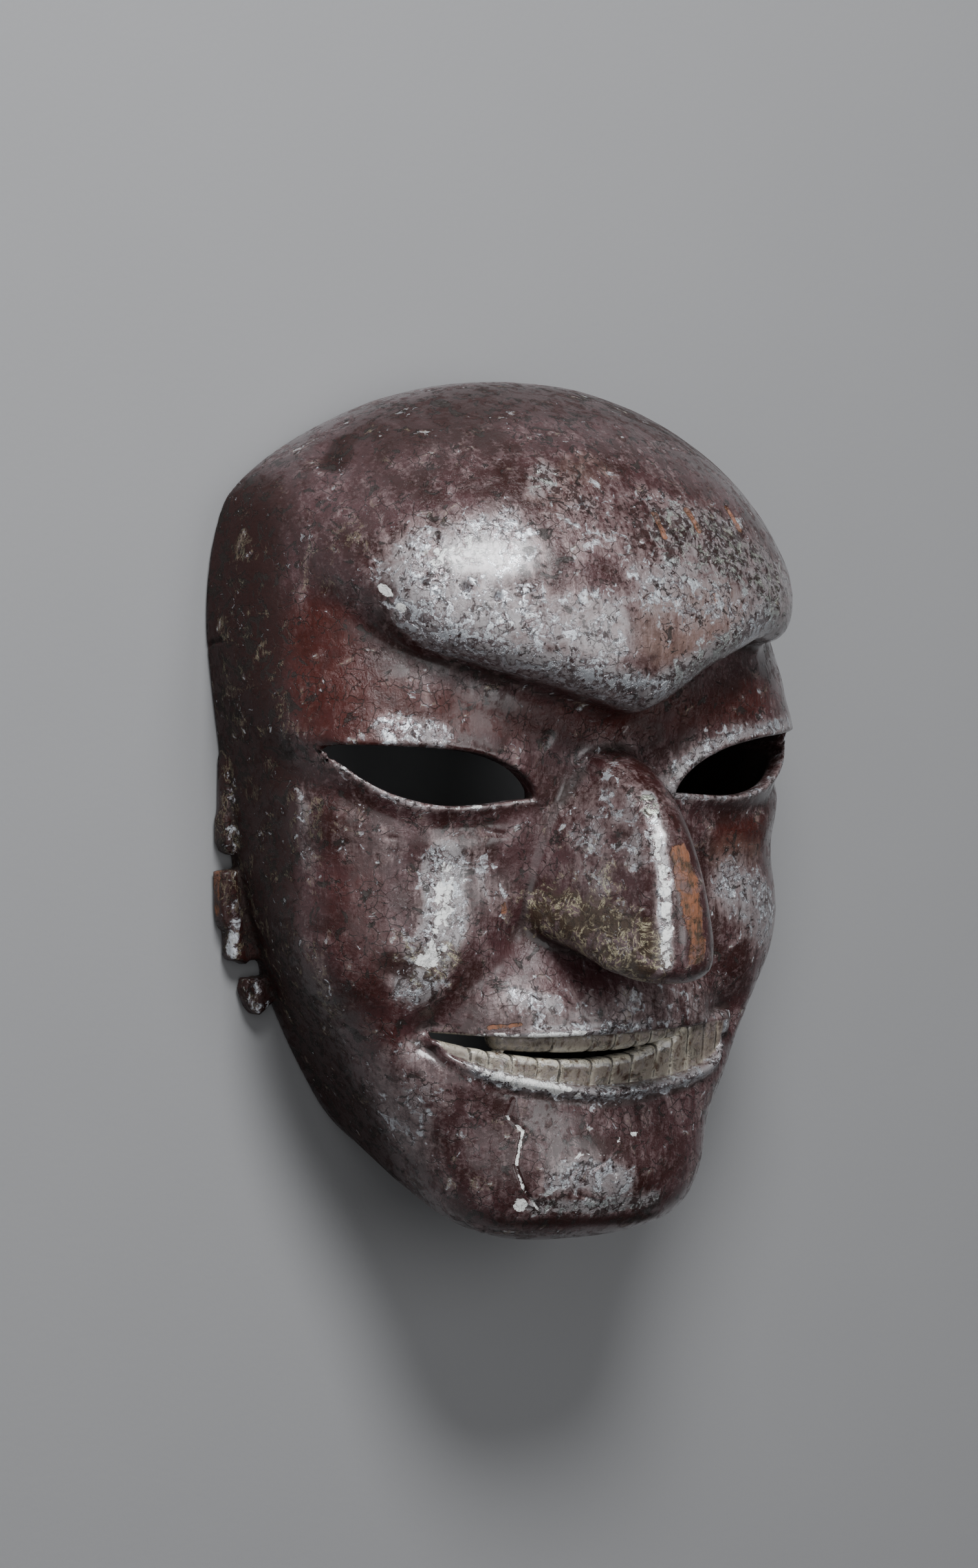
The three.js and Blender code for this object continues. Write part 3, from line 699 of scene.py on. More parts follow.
# Wear, and painted light and shade, as (line of points, radius, strength): places in millimetres on the
# mask
BROW_BAND = (
    (-74, 66, 82), (-60, 56, 91), (-43, 50, 99), (-25, 45, 105), (-3, 39, 105), (26, 52, 108), (53, 64, 99),
)
# Grey where the lacquer is rubbed through, partly painted sheen and highlights: the strokes on the
# forehead, the near and far cheeks, under the near eye, the near side of the nose and the muzzle are set
# and strengthened where the lights shine.
SILVER_AND_SHEEN = (
    # Painted highlight with the rubbing: the forehead above the near eye.
    (((-72, 80, 80), (-58, 84, 90), (-50, 88, 92)), 17, 0.75),
    (BROW_BAND, 11, 0.92),
    (((-66, 70, 86), (-48, 66, 97)), 13, 0.75),
    (((-50, 64, 98), (-20, 62, 106)), 17, 0.6),
    # Painted sheen: the middle of the forehead.
    (((-2, 74, 109), (30, 74, 106)), 18, 0.58),
    # Painted sheen: the muzzle.
    (((-34, -58, 80), (0, -62, 84), (34, -58, 80)), 11, 0.34),
    (((-24, 96, 94), (-6, 98, 98)), 18, 0.36),
    (((-26, 112, 84), (-32, 106, 88)), 6, 0.6),
    (((14, 94, 101), (40, 86, 99), (62, 72, 92)), 17, 0.6),
    (((40, 66, 104), (66, 66, 88)), 12, 0.6),
    (((-78, 31, 72), (-64, 29, 78)), 6, 0.75),
    # Painted highlight with the rubbing: the near cheek.
    (((-57, -12, 73), (-58, -28, 74), (-63, -42, 72), (-66, -48, 70)), 10, 1.0),
    (((-49, -10, 74), (-40, -22, 74)), 8, 0.45),
    (((-34, -54, 79), (-22, -57, 83)), 4.5, 0.7),
    (((-4, 10, 108), (-7, -16, 120), (-9, -42, 123)), 3.0, 1.0),
    # Painted sheen: the near side of the nose.
    (((-9, 14, 96), (-10, -8, 110)), 9, 0.45),
    (((-17, 4, 92), (-20, -20, 98)), 11, 0.42),
    # Painted sheen: under the near eye.
    (((-80, -3, 56), (-72, -6, 62)), 9, 0.4),
    (((-16, -28, 106), (-15, -38, 112)), 7, 0.4),
    (((-20, -112, 82), (-8, -112, 84), (2, -115, 85)), 8, 0.7),
    (((-27, -121, 79), (0, -123, 83), (20, -122, 80)), 3.6, 0.75),
    # Painted sheen with the rubbing: the far cheek.
    (((58, -24, 74), (72, -34, 68)), 15, 0.66),
    (((-64, -79, 59), (-56, -95, 55)), 15, 0.42),
    (((-94, 9, 47), (-92, -12, 47)), 3.5, 0.4),
    (((-88, -42, 48), (-85, -52, 47)), 3.5, 0.4),
    (((-93, -28, 7), (-95.5, -43, 7)), 3.2, 0.95),
    (((-86, -53, 7), (-85, -61, 7)), 4.5, 0.8),
    (((-94, 12, 7), (-95, -9, 7)), 3.5, 0.6),
)
# Pale ground where it is chipped bare; the broad strokes on the forehead above the near eye and on the near
# cheek are also painted highlight.
WHITE_AND_HIGHLIGHTS = (
    (((-80, 74, 72), (-79, 73, 74)), 2.6, 1.0),
    (((-77, 69, 77), (-76, 68, 78)), 1.8, 0.9),
    # Painted highlight with the bare ground: the near cheek.
    (((-57, -14, 74), (-60, -36, 74), (-64, -42, 72)), 5.0, 0.66),
    (((-57, -11, 73), (-52, -16, 74)), 3.4, 0.5),
    (((-7, -2, 115), (-7, -16, 120), (-8, -30, 123), (-9, -42, 123)), 2.4, 0.68),
    (((-31, -97, 78), (-33, -108, 77), (-31, -116, 79), (-26, -122, 79)), 0.85, 0.66),
    (((-31, -120, 77), (-32, -121, 77)), 2.4, 1.0),
    (((1, -102, 83), (12, -100, 81)), 1.3, 0.55),
    (((-28, 111, 85), (-26, 110, 86)), 3.4, 0.5),
    # Painted highlight: the forehead above the near eye.
    (((-66, 84, 86), (-58, 88, 89)), 9, 0.5),
    (((-62, 70, 88), (-46, 66, 98)), 9, 0.34),
    (((-34, -87, 77), (-36, -92, 76), (-31, -97, 78)), 0.8, 0.5),
    (((-19, -108, 83), (-12, -105, 84.5), (-4, -106, 85.5)), 0.7, 0.6),
    (((1, -110, 85.5), (0, -116, 85)), 0.8, 0.6),
)
WOOD = (
    (((-0.2, -9, 119.5), (1.1, -25, 123), (1.5, -39, 124)), 5.0, 0.95),
    (((6, 98, 98), (7, 91, 102)), 1.5, 1.0),
    (((20, 99, 96), (22, 93, 100)), 1.6, 1.0),
    (((41, 100, 90), (44, 93, 93)), 1.4, 1.0),
    (((-44, -63.6, 77), (-33, -62.8, 80)), 0.9, 0.8),
    (((-36, -26, 74), (-35.5, -27, 74)), 1.6, 0.9),
    (((2, 64, 110), (20, 68, 109)), 9, 0.3),
    (((-98, -17, 3), (-98, -30, 3)), 3, 0.6),
    (((98, -17, 3), (98, -30, 3)), 3, 0.6),
)
RED = (
    (((-90, 58, 50), (-90, 40, 56), (-80, 36, 70)), 19, 0.9),
    (((-60, 36, 80), (-24, 33, 84), (20, 33, 84), (70, 40, 80)), 10, 0.75),
    (((52, -8, 75), (72, -7, 70)), 7, 0.9),
    (((-22, -32, 80), (-25, -36, 76)), 4, 0.6),
    (((30, 100, 92), (50, 92, 88)), 12, 0.4),
    (((20, 40, 96), (60, 54, 88)), 7, 0.5),
    (((-82, 0, 55), (-80, -40, 58), (-74, -64, 60)), 14, 0.55),
    (((-30, -127, 60), (20, -127, 60)), 10, 0.5),
)
# Painted shade: darkens the near and far sides, the top of the crown and the edge under the chin as if out
# of the light. The small strokes darken a few places of the lacquer.
DARK_AND_SHADE = (
    (((-74, 116, 36), (-68, 120, 32)), 8, 0.8),
    (((-100, 90, 10), (-100, 20, 20)), 32, 1.0),
    (((-62, 128, 40), (0, 136, 50), (55, 126, 50)), 27, 0.56),
    (((-96, 0, 20), (-84, -60, 20), (-60, -110, 20)), 29, 0.9),
    (((100, 90, 10), (98, 0, 20), (84, -60, 20)), 30, 0.85),
    (((-70, -44, 69), (-74, -42, 66)), 5, 0.9),
    (((-35, -125, 71), (-20, -126, 78), (7, -128, 79), (22, -128, 76)), 3, 0.75),
    (((-4, 101, 97), (18, 92, 102)), 6, 0.55),
    (((-60, -42, 70), (-50, -48, 70)), 9, 0.45),
    (((-77, -20, 62), (-76, -42, 62)), 7, 0.4),
)
GREEN = (
    (((14, 92, 101), (40, 86, 99), (62, 72, 92)), 15, 0.8),
    (((-6, 12, 107), (-5, 6, 110)), 5, 0.9),
    (((-26, 112, 84), (-32, 106, 88)), 7, 0.6),
    (((-24, -120, 79), (20, -122, 80)), 6, 0.5),
    (((8, 50, 105), (30, 56, 107)), 8, 0.5),
)
SCRATCHED = (
    (((-97, 8, 42), (-96, -6, 42)), 5, 0.9),
    (((-94, 6, 52), (-93, -18, 50)), 6, 1.0),
    (((-88, -40, 48), (-84, -58, 46)), 6, 0.9),
    (((-99, 42, 40), (-98, 30, 44)), 5, 0.8),
    (((-96, 14, 7), (-97, -8, 7), (-94, -44, 7), (-86, -60, 7)), 7, 0.8),
    (((-100, 80, 20), (-99, 0, 24), (-86, -60, 24)), 26, 0.45),
    (((100, 80, 20), (99, 0, 24), (86, -60, 24)), 26, 0.35),
    (((-80, 96, 60), (-90, 80, 50)), 14, 0.55),
)
MOTTLE = (
    (((-25, -30, 84), (-20, -32, 98), (-14, -38, 114)), 13, 1.0),
    (((-22, -12, 88), (-16, -16, 104)), 9, 0.3),
    (((-66, -44, 70), (-58, -40, 73)), 9, 0.55),
)

WARM = (
    (((0, 62, 110), (26, 66, 108)), 17, 0.9),
    (((50, -12, 76), (68, -14, 70)), 9, 0.6),
    (((-30, 104, 90), (-10, 112, 86)), 12, 0.5),
)

# A mark narrower than this, in millimetres, is laid on the surface in runs of this length, and slid
# along the view at most this far. Marks beyond the hidden side stay where they are
NARROW_MARK = 4.6
RUN_LENGTH = 2.0
SLIDE = 14.0
SLIDE_STEP = 0.5
HIDDEN_SIDE = 75

# Where a mark or erosion fades, as shares of its radius, and how rough a place is when it is pitted
MARK_EDGE = (0.35, 1.25)
EROSION_EDGE = (0.4, 1.2)
EROSION_PITS = (-0.15, 0.35)

# Speckle over the whole face: wavelength, seed and height
WAVER = ((23, 3, 0.32), (9, 5, 0.16))
ROUGHNESS = ((5.5, 7, 0.5), (2.8, 9, 0.5))
ROUGH_HEIGHT = 0.07
WAVER_START = (1, 6)

# Wear along the lids and lips, which on the lower lip is also painted highlight: distance from the edge,
# width and strength, and where it starts along X
LOWER_LID_WEAR = (0.8, 1.3, 0.6)
FAR_LID_WEAR = (3, 3.2, 0.75)
UPPER_LIP_WEAR = (2.2, 2.2, 0.8)
UPPER_LIP_STARTS = (-42, -26)
UPPER_LIP_FADES = (6, 20)
UPPER_LIP_FADE = 0.5
LOWER_LIP_WEAR_AND_HIGHLIGHT = (2.0, 3.0, 1.0)
LOWER_LIP_STARTS = (-58, -46)
LID_LINE = (0.5, 0.6, 0.62)
LIP_LINE = (1.6, 2.4, 0.95)
LIP_LINE_AT = (-29, 26)

# Teeth whose paint has gone: where along X, and how far
UPPER_TEETH_WORN = (-19.5, -21.5)
UPPER_TEETH_GONE = 0.8
DARK_TOOTH = (-7, 2.5, 0.4)
FAR_TEETH_WORN = (33, 40)
NEAR_TEETH_WORN = (-42, -50)
NEAR_TEETH_GONE = 0.5

# How sharply a hollow that takes dirt and painted shade and a ridge that is worn bend, and where they stay
# clean
HOLLOW_BEND = (0.015, 0.16)
RIDGE_BEND = (0.06, 0.24)
BEND_SMOOTHING = 2
NEIGHBOUR_SHARE = 0.6
CLEAN_LIP = (1, 2, 0.8)
CLEAN_LIP_TOP = -66
EDGE_FRONT = 30
HOLE_WEAR = (2, 6)
RIM_WEAR = 0.35
BRIDGE_SIDE = (16, 6, 20)

# The mesh: the space it fills, how fine it is and what counts as hollow, mouth and teeth
FORM_SPACE = ((-107, 107), (-143, 144), (-3, 131))
SETTLING = 2
LEAST_SQUARE = 0.05
FINE_REACH = 4.5
FINE_FRONT = 58
# Distance from the middle, top and height over the rim of the finely carved ears, and its reach
FINE_EARS = (84, 0, 9, 1.5)
CUT_REACHES = (2.2, 1.2)
HOLLOW_REACH = 0.6
HOLLOW_START = 2
HOLLOW_SIDE = (1.6, 0.4)
HOLLOW_SMOOTHER = 0.6
IN_MOUTH = 0.2
TEETH_FRONT = 55
TEETH_DEPTH = (-2.0, -3.0)
LIP_FRONT = (50, 60)

# The marks that the finish reads from the mesh
MARKS = (
    "silver", "white", "wood", "warm", "red", "dark", "green", "eroded", "mottle", "scratched",
    "teeth", "gap", "old_tooth", "hollow", "cavity", "edge",
)

# Cuts into the surface: line of points, radius, depth
CUTS = (
    (((-5.6, 47, 105.5), (-4.4, 36, 103), (-2, 30, 92)), 0.8, 0.7),
    (((-62, 75, 91), (-62, 75.2, 91)), 1.0, 2.6),
    (((-54, 72, 97), (-54, 72.2, 97)), 0.9, 2.4),
    (((6, 98, 98), (7, 91, 102)), 0.9, 0.8),
    (((20, 99, 96), (22, 93, 100)), 1.0, 0.9),
    (((41, 100, 90), (44, 93, 93)), 0.9, 0.8),
    (((-31, -97, 78), (-33, -108, 77), (-31, -116, 79), (-26, -122, 79)), 0.6, 0.6),
    (((-34, -87, 77), (-36, -92, 76), (-31, -97, 78)), 0.6, 0.35),
    (((-100.5, 55, 0), (-100, 57, 4), (-100, 57.5, 9)), 0.7, 1.0),
    (((-16, -112, 83), (-12, -108, 84), (-8, -110, 85), (-4, -108, 86), (0, -112, 86)), 0.6, 0.45),
    (((-16, -112, 83), (-14, -118, 84), (-6, -121, 84)), 0.6, 0.4),
    (((-44, -2, 75), (-41, -2.4, 75.5), (-37, -3, 76)), 0.9, 0.6),
    (((-76, -3, 68), (-73, -3.4, 69)), 1.0, 0.6),
)
DENTS = (
    (((-74, 119, 30), (-76, 115, 34), (-73, 111, 38)), 3.2, 1.3),
    (((-80, 74, 72), (-79, 73, 74)), 2.6, 0.45),
    (((-31, -120, 77), (-32, -121, 77)), 2.2, 0.4),
    (((-72, -44, 68), (-70, -42, 69)), 4.5, 0.8),
    (((-10, -112, 84), (-4, -114, 85)), 4.5, 0.5),
    (((0.5, -9, 119.5), (2.2, -25, 123), (2.8, -37, 124)), 4.0, 0.5),
)
ERODED = (
    (((6, 92, 101), (30, 90, 101), (56, 78, 94)), 14, 0.5),
    (((-20, -34, 96), (-13, -40, 114)), 9, 0.4),
    (((-66, -44, 70), (-58, -46, 71)), 9, 0.45),
    (((-27, -122, 79), (20, -123, 80)), 5, 0.4),
    (((-92, -18, 4), (-86, -44, 4), (-83, -56, 4)), 7, 0.5),
    (((92, -18, 4), (86, -44, 4), (83, -56, 4)), 7, 0.5),
    (((-28, 110, 86), (-20, 104, 92)), 7, 0.35),
)


def laid_on(field, marks):
    """The marks, with each narrow one slid along the view until it lies on the surface."""
    back = np.array(view_axes()[2])
    slides = np.arange(SLIDE, -SLIDE, -SLIDE_STEP)
    laid = []
    for line, radius, strength in marks:
        if radius < NARROW_MARK:
            runs = []
            for a, b in zip(line[:-1], line[1:]):
                count = 1 + int(math.dist(a, b) / RUN_LENGTH)
                runs.append(np.linspace(a, b, count, endpoint=False))
            points = np.concatenate(runs + [np.array(line[-1:], float)])
            rays = points[:, None, :] + slides[None, :, None] * back
            values = evaluate(field, rays.reshape(-1, 3)).reshape(rays.shape[:2])
            row = np.arange(len(points))
            entry = (values < 0).argmax(1)
            outer, inner = values[row, entry - 1], values[row, entry]
            met = (entry > 0) & (inner < 0) & (points[:, 0] < HIDDEN_SIDE)
            share = np.where(met, outer / np.where(met, outer - inner, 1), 0)
            slide = np.where(met, slides[entry] + SLIDE_STEP * (1 - share), 0)
            line = points + slide[:, None] * back
        laid.append((line, radius, strength))
    return laid


def patches(points, marks):
    """How much of each mark lies at each point, from 0 to 1."""
    total = np.zeros(len(points))
    for stroke, radius, strength in marks:
        distance = stroke_distance(*points.T, stroke)
        total = np.maximum(total, strength * (1 - smoothstep(*MARK_EDGE, distance / radius)))
    return total


def speckles(points, layers):
    return sum(height * speckle(points, wavelength, seed) for wavelength, seed, height in layers)


def carve_relief(points, normals, amount, dents_and_cuts):
    """How far each point moves in or out, in millimetres, for tool waver, wear, cuts and dents."""
    rough = speckles(points, ROUGHNESS)
    move = smoothstep(*WAVER_START, points[:, 2]) * (speckles(points, WAVER) + ROUGH_HEIGHT * rough)
    for stroke, radius, depth in ERODED:
        share = 1 - smoothstep(*EROSION_EDGE, stroke_distance(*points.T, stroke) / radius)
        move = move - depth * share * smoothstep(*EROSION_PITS, rough)
    for stroke, radius, depth in dents_and_cuts:
        move = move - depth * bump(stroke_distance(*points.T, stroke), radius)
    return normals * (amount * move)[:, None]


class MaskSizes(bpy.types.PropertyGroup):
    """Sizes of the mask that a maker would change."""

    fineness: bpy.props.FloatProperty(
        name="Fineness", description="Spacing of the carved mesh", default=0.0016,
        min=0.0010, max=0.004, unit="LENGTH", subtype="DISTANCE",
    )
    wall: bpy.props.FloatProperty(
        name="Wall", description="Thickness of the wood behind the face", default=0.009,
        min=0.006, max=0.012, unit="LENGTH", subtype="DISTANCE",
    )
    relief: bpy.props.FloatProperty(
        name="Relief", description="Strength of the tool waver, wear and cuts", default=1.0,
        min=0.0, max=2.0, subtype="FACTOR",
    )
    hollow_share: bpy.props.FloatProperty(
        name="Hollow detail", description="Share of the mesh kept behind the face", default=0.185,
        min=0.05, max=1.0, subtype="FACTOR",
    )


def colour(name, description, default):
    return bpy.props.FloatVectorProperty(
        name=name, description=description, default=default, size=3, min=0.0, max=1.0, subtype="COLOR",
    )


class MaskColours(bpy.types.PropertyGroup):
    """Colours of the lacquer, the wear and the teeth."""

    lacquer: colour("Lacquer", "Aubergine lacquer where it is whole", (0.057, 0.0245, 0.0265))
    # Also the colour of the painted shade on the sides, the crown and under the chin.
    deep: colour("Deep lacquer", "The lacquer where it has darkened", (0.020, 0.0048, 0.0036))
    red: colour("Red ground", "Red-brown ground that shows through", (0.050, 0.0085, 0.0055))
    haze: colour("Haze", "Dull film on the worn lacquer", (0.140, 0.094, 0.097))
    ochre: colour("Ochre", "Warm tan film on the forehead and the far cheek", (0.235, 0.155, 0.125))
    # The rose film and the veil follow the silver marks, so they carry the painted sheen of those marks
    # too.
    rose: colour("Rose film", "Pink-grey film beside the rubbed places", (0.250, 0.185, 0.182))
    veil: colour("Veil", "Grey film over the rubbed places", (0.335, 0.320, 0.326))
    # Its blue tint is the tint of the lights' highlight, painted into the rubbed places.
    silver: colour("Rubbed", "Grey where the lacquer is rubbed through", (0.60, 0.625, 0.665))
    green: colour("Greened", "Grey-green where old paint flakes", (0.30, 0.32, 0.25))
    white: colour("Ground", "Pale ground where it is bare", (0.80, 0.80, 0.78))
    wood: colour("Bare wood", "Wood where everything is gone", (0.195, 0.080, 0.042))
    # Also the colour of the painted shade in the creases and hollows.
    grime_and_shade: colour("Grime", "Dirt in the hollows", (0.016, 0.012, 0.010))
    umber: colour("Umber", "Dark brown under the mottling", (0.048, 0.032, 0.020))
    gold: colour("Mottling", "Pale veins of the mottled places", (0.36, 0.32, 0.21))
    ivory: colour("Teeth", "Painted teeth", (0.50, 0.46, 0.37))
    stain: colour("Tooth stain", "Brown stain on the teeth", (0.105, 0.070, 0.042))
    inside: colour("Inside", "Dark wood of the hollow", (0.020, 0.014, 0.012))


class StageSettings(bpy.types.PropertyGroup):
    """The floor and the lights."""

    floor: colour("Floor", "Colour of the floor", (0.235, 0.235, 0.24))
    key: bpy.props.FloatProperty(
        name="Key light", description="Power of the wide soft light above the view", default=27.0,
        min=0.0, unit="POWER",
    )
    fill: bpy.props.FloatProperty(
        name="Fill light", description="Power of the tall soft light on the viewer's right", default=5.0,
        min=0.0, unit="POWER",
    )
    front: bpy.props.FloatProperty(
        name="Front light", description="Power of the broad soft light beside the view", default=7.0,
        min=0.0, unit="POWER",
    )
    sky: bpy.props.FloatProperty(
        name="Sky", description="Strength of the light from all round", default=0.10, min=0.0,
    )


def active_only(obj):
    """Leaves one object selected and active."""
    bpy.ops.object.select_all(action="DESELECT")
    obj.select_set(True)
    bpy.context.view_layer.objects.active = obj


def places(mesh):
    flat = np.empty(len(mesh.vertices) * 3)
    mesh.vertices.foreach_get("co", flat)
    return flat.reshape(-1, 3) / MILLIMETRE


def set_places(mesh, points):
    mesh.vertices.foreach_set("co", (points * MILLIMETRE).ravel())
    mesh.update()


def face_centres(mesh):
    flat = np.empty(len(mesh.polygons) * 3)
    mesh.polygons.foreach_get("center", flat)
    return flat.reshape(-1, 3) / MILLIMETRE


def select_faces(obj, chosen):
    """Selects just the chosen faces, in edit mode."""
    active_only(obj)
    bpy.ops.object.mode_set(mode="EDIT")
    bpy.ops.mesh.select_mode(type="FACE")
    bpy.ops.mesh.select_all(action="DESELECT")
    bpy.ops.object.mode_set(mode="OBJECT")
    obj.data.polygons.foreach_set("select", chosen)
    bpy.ops.object.mode_set(mode="EDIT")


def refine(obj, chosen):
    """Splits the chosen faces in four."""
    select_faces(obj, chosen)
    bpy.ops.mesh.subdivide(number_cuts=1)
    bpy.ops.object.mode_set(mode="OBJECT")


def fine_work(points):
    """Where the carving is fine: lids, mouth, teeth and ears."""
    x, y, z = points.T
    eye = np.abs(eye_distance(x, y)) < FINE_REACH
    mouth = mouth_distance(x, y) < FINE_REACH
    inner, top, front, reach = FINE_EARS
    ear = (np.abs(x) > inner) & (y < top) & (z < front) & (ears(x, y, z) < reach)
    return ((eye | mouth) & (z > FINE_FRONT)) | ear


def near_cuts(points, cuts, reach):
    near = np.zeros(len(points), bool)
    for stroke, radius, _ in cuts:
        near |= stroke_distance(*points.T, stroke) < radius + reach
    return near


def add_mark(mesh, name, values):
    layer = mesh.attributes.new(name, "FLOAT", "POINT")
    layer.data.foreach_set("value", np.clip(values, 0, 1).astype(np.float32))


def curvature(mesh, points, normals):
    """How sharply the surface bends at each point, one over millimetres: over 0 on a ridge."""
    ends = np.empty(len(mesh.edges) * 2, np.int64)
    mesh.edges.foreach_get("vertices", ends)
    a, b = ends.reshape(-1, 2).T
    along_edge = points[b] - points[a]
    length = np.maximum((along_edge ** 2).sum(1), LEAST_SQUARE)
    bend = ((normals[b] - normals[a]) * along_edge).sum(1) / length
    count = np.bincount(a, minlength=len(points)) + np.bincount(b, minlength=len(points))
    count = np.maximum(count, 1)
    total = np.bincount(a, bend, len(points)) + np.bincount(b, bend, len(points))
    value = total / count
    for _ in range(BEND_SMOOTHING):
        total = np.bincount(a, value[b], len(points)) + np.bincount(b, value[a], len(points))
        value = (1 - NEIGHBOUR_SHARE) * value + NEIGHBOUR_SHARE * total / count
    return value


def lip_and_lid_wear_and_highlight(x, y):
    """Rubbed bands along the lids and lips, seen from the front; along the lower lip the band is also
    painted highlight.
    """
    d = eye_distance(x, y)
    upper = smoothstep(-1, 2, beside_eye(x, y)[1])
    far = smoothstep(-5, 5, x)
    lids = (1 - upper) * band(d, LOWER_LID_WEAR) + far * upper * band(d, FAR_LID_WEAR)
    dm = mouth_distance(x, y)
    above = smoothstep(-1, 1, y - mouth_side(x)[1])
    fading = (1 - UPPER_LIP_FADE * smoothstep(*UPPER_LIP_FADES, x)) * smoothstep(*UPPER_LIP_STARTS, x)
    lips = above * band(dm, UPPER_LIP_WEAR) * fading
    low = (1 - above) * band(dm, LOWER_LIP_WEAR_AND_HIGHLIGHT) * smoothstep(*LOWER_LIP_STARTS, x)
    return np.maximum(lids, np.maximum(lips, low))


def bright_lines(x, y):
    """The bare edge of the near lower lid and of the lower lip; on the lower lip it is also painted
    highlight.
    """
    below_eye = (beside_eye(x, y)[1] < 0) & (x < 0)
    below_mouth = y < mouth_side(x)[1]
    lid_line = band(eye_distance(x, y), LID_LINE) * below_eye
    lip_line = band(mouth_distance(x, y), LIP_LINE) * below_mouth * bump(x - LIP_LINE_AT[0], LIP_LINE_AT[1])
    return np.maximum(lid_line, lip_line)


def old_teeth(x, y):
    """Where the paint of the teeth has gone: the near end of each row and the far end of the lower."""
    upper = smoothstep(-1, 1, over_slit(x, y))
    near = UPPER_TEETH_GONE * smoothstep(*UPPER_TEETH_WORN, x) + band(x, DARK_TOOTH)
    far = smoothstep(*FAR_TEETH_WORN, x) + NEAR_TEETH_GONE * smoothstep(*NEAR_TEETH_WORN, x)
    return np.maximum(near * upper, far * (1 - upper))


def new_mesh_object(name, points, faces):
    mesh = bpy.data.meshes.new(name)
    mesh.from_pydata((points * MILLIMETRE).tolist(), [], faces.tolist())
    mesh.update()
    obj = bpy.data.objects.new(name, mesh)
    bpy.context.scene.collection.objects.link(obj)
    return obj


def mark_wear(mesh, field, points):
    """Keeps each kind of wear, and the painted shade of the dark marks, with the mesh, as a value at every
    point.
    """
    for name, marks in (("red", RED), ("dark", DARK_AND_SHADE), ("green", GREEN), ("warm", WARM)):
        add_mark(mesh, name, patches(points, marks))
    for name, marks in (("mottle", MOTTLE), ("scratched", SCRATCHED)):
        add_mark(mesh, name, patches(points, marks))
    add_mark(mesh, "eroded", patches(points, [(line, radius, 1) for line, radius, _ in ERODED]))
    add_mark(mesh, "wood", patches(points, laid_on(field, WOOD)))


def mark_edges(mesh, points, bend, front):
    """Keeps hollows that take dirt and painted shade, and ridges that are worn, with the mesh."""
    x, y, z = points.T
    on_lip = band(mouth_distance(x, y), CLEAN_LIP) * (y < CLEAN_LIP_TOP) * front
    add_mark(mesh, "cavity", smoothstep(*HOLLOW_BEND, -bend) * (1 - on_lip))
    at_hole = np.minimum(np.abs(eye_distance(x, y)), np.abs(mouth_distance(x, y)))
    beside_holes = np.where(z > EDGE_FRONT, smoothstep(*HOLE_WEAR, at_hole), RIM_WEAR)
    off_bridge = 1 - bump(np.hypot(np.abs(x) - BRIDGE_SIDE[0], y - BRIDGE_SIDE[1]), BRIDGE_SIDE[2])
    add_mark(mesh, "edge", smoothstep(*RIDGE_BEND, bend) * beside_holes * off_bridge)


def carve_mask(sizes):
    """The carved mask as an object, with the wear of each place, and its painted shade and highlights, kept
    as attributes.
    """
    step = sizes.fineness / MILLIMETRE
    wall = sizes.wall / MILLIMETRE

    def field(x, y, z):
        return mask_field(x, y, z, wall)

    def hollow_field(x, y, z):
        return hollow(x, y, z, wall, carved_face(x, y, z, plain_face(x, y, z)))

    points, quads = surface_net(field, [np.arange(low, high, step) for low, high in FORM_SPACE])
    obj = new_mesh_object("carved_mask", settle(field, points, SETTLING), quads)
    mesh = obj.data

    centres = face_centres(mesh)
    behind = evaluate(hollow_field, centres) < HOLLOW_REACH
    behind &= (centres[:, 2] > HOLLOW_START) & ~fine_work(centres)
    select_faces(obj, behind)
    bpy.ops.mesh.decimate(ratio=sizes.hollow_share)
    bpy.ops.object.mode_set(mode="OBJECT")
    refine(obj, fine_work(face_centres(mesh)))
    cuts = laid_on(field, CUTS)
    for reach in CUT_REACHES:
        refine(obj, near_cuts(face_centres(mesh), cuts, reach))

    points = settle(field, places(mesh), SETTLING)
    normals = gradient(field, points)
    normals /= np.maximum(np.linalg.norm(normals, axis=1, keepdims=True), 1e-9)
    inside = evaluate(hollow_field, points)
    is_hollow = smoothstep(*HOLLOW_SIDE, inside)
    relief = carve_relief(points, normals, sizes.relief, laid_on(field, DENTS) + cuts)
    moved = points + relief * (1 - HOLLOW_SMOOTHER * is_hollow)[:, None]
    moved[:, 2] = np.maximum(moved[:, 2], 0)

    x, y, z = points.T
    in_mouth = (mouth_distance(x, y) < IN_MOUTH) & (z > TEETH_FRONT)
    depth = evaluate(plain_face, points)
    is_teeth = smoothstep(*TEETH_DEPTH, depth) * in_mouth * (inside > -1)
    gap = tooth_gap(x, over_slit(x, y) > 0)
    front = smoothstep(*LIP_FRONT, z) * (1 - is_teeth)
    silver = np.maximum(patches(points, laid_on(field, SILVER_AND_SHEEN)), front * lip_and_lid_wear_and_highlight(x, y))
    white = np.maximum(patches(points, laid_on(field, WHITE_AND_HIGHLIGHTS)), front * bright_lines(x, y))
    add_mark(mesh, "silver", silver)
    add_mark(mesh, "white", white)
    add_mark(mesh, "teeth", is_teeth)
    add_mark(mesh, "gap", is_teeth * bump(gap, GAP_WIDTH))
    add_mark(mesh, "old_tooth", is_teeth * old_teeth(x, y))
    add_mark(mesh, "hollow", is_hollow * (1 - is_teeth))
    mark_wear(mesh, field, points)
    mark_edges(mesh, points, curvature(mesh, moved, normals), front)

    moved[:, 1] += CENTRE_SHIFT
    set_places(mesh, moved)
    active_only(obj)
    bpy.ops.object.shade_smooth()
    return obj


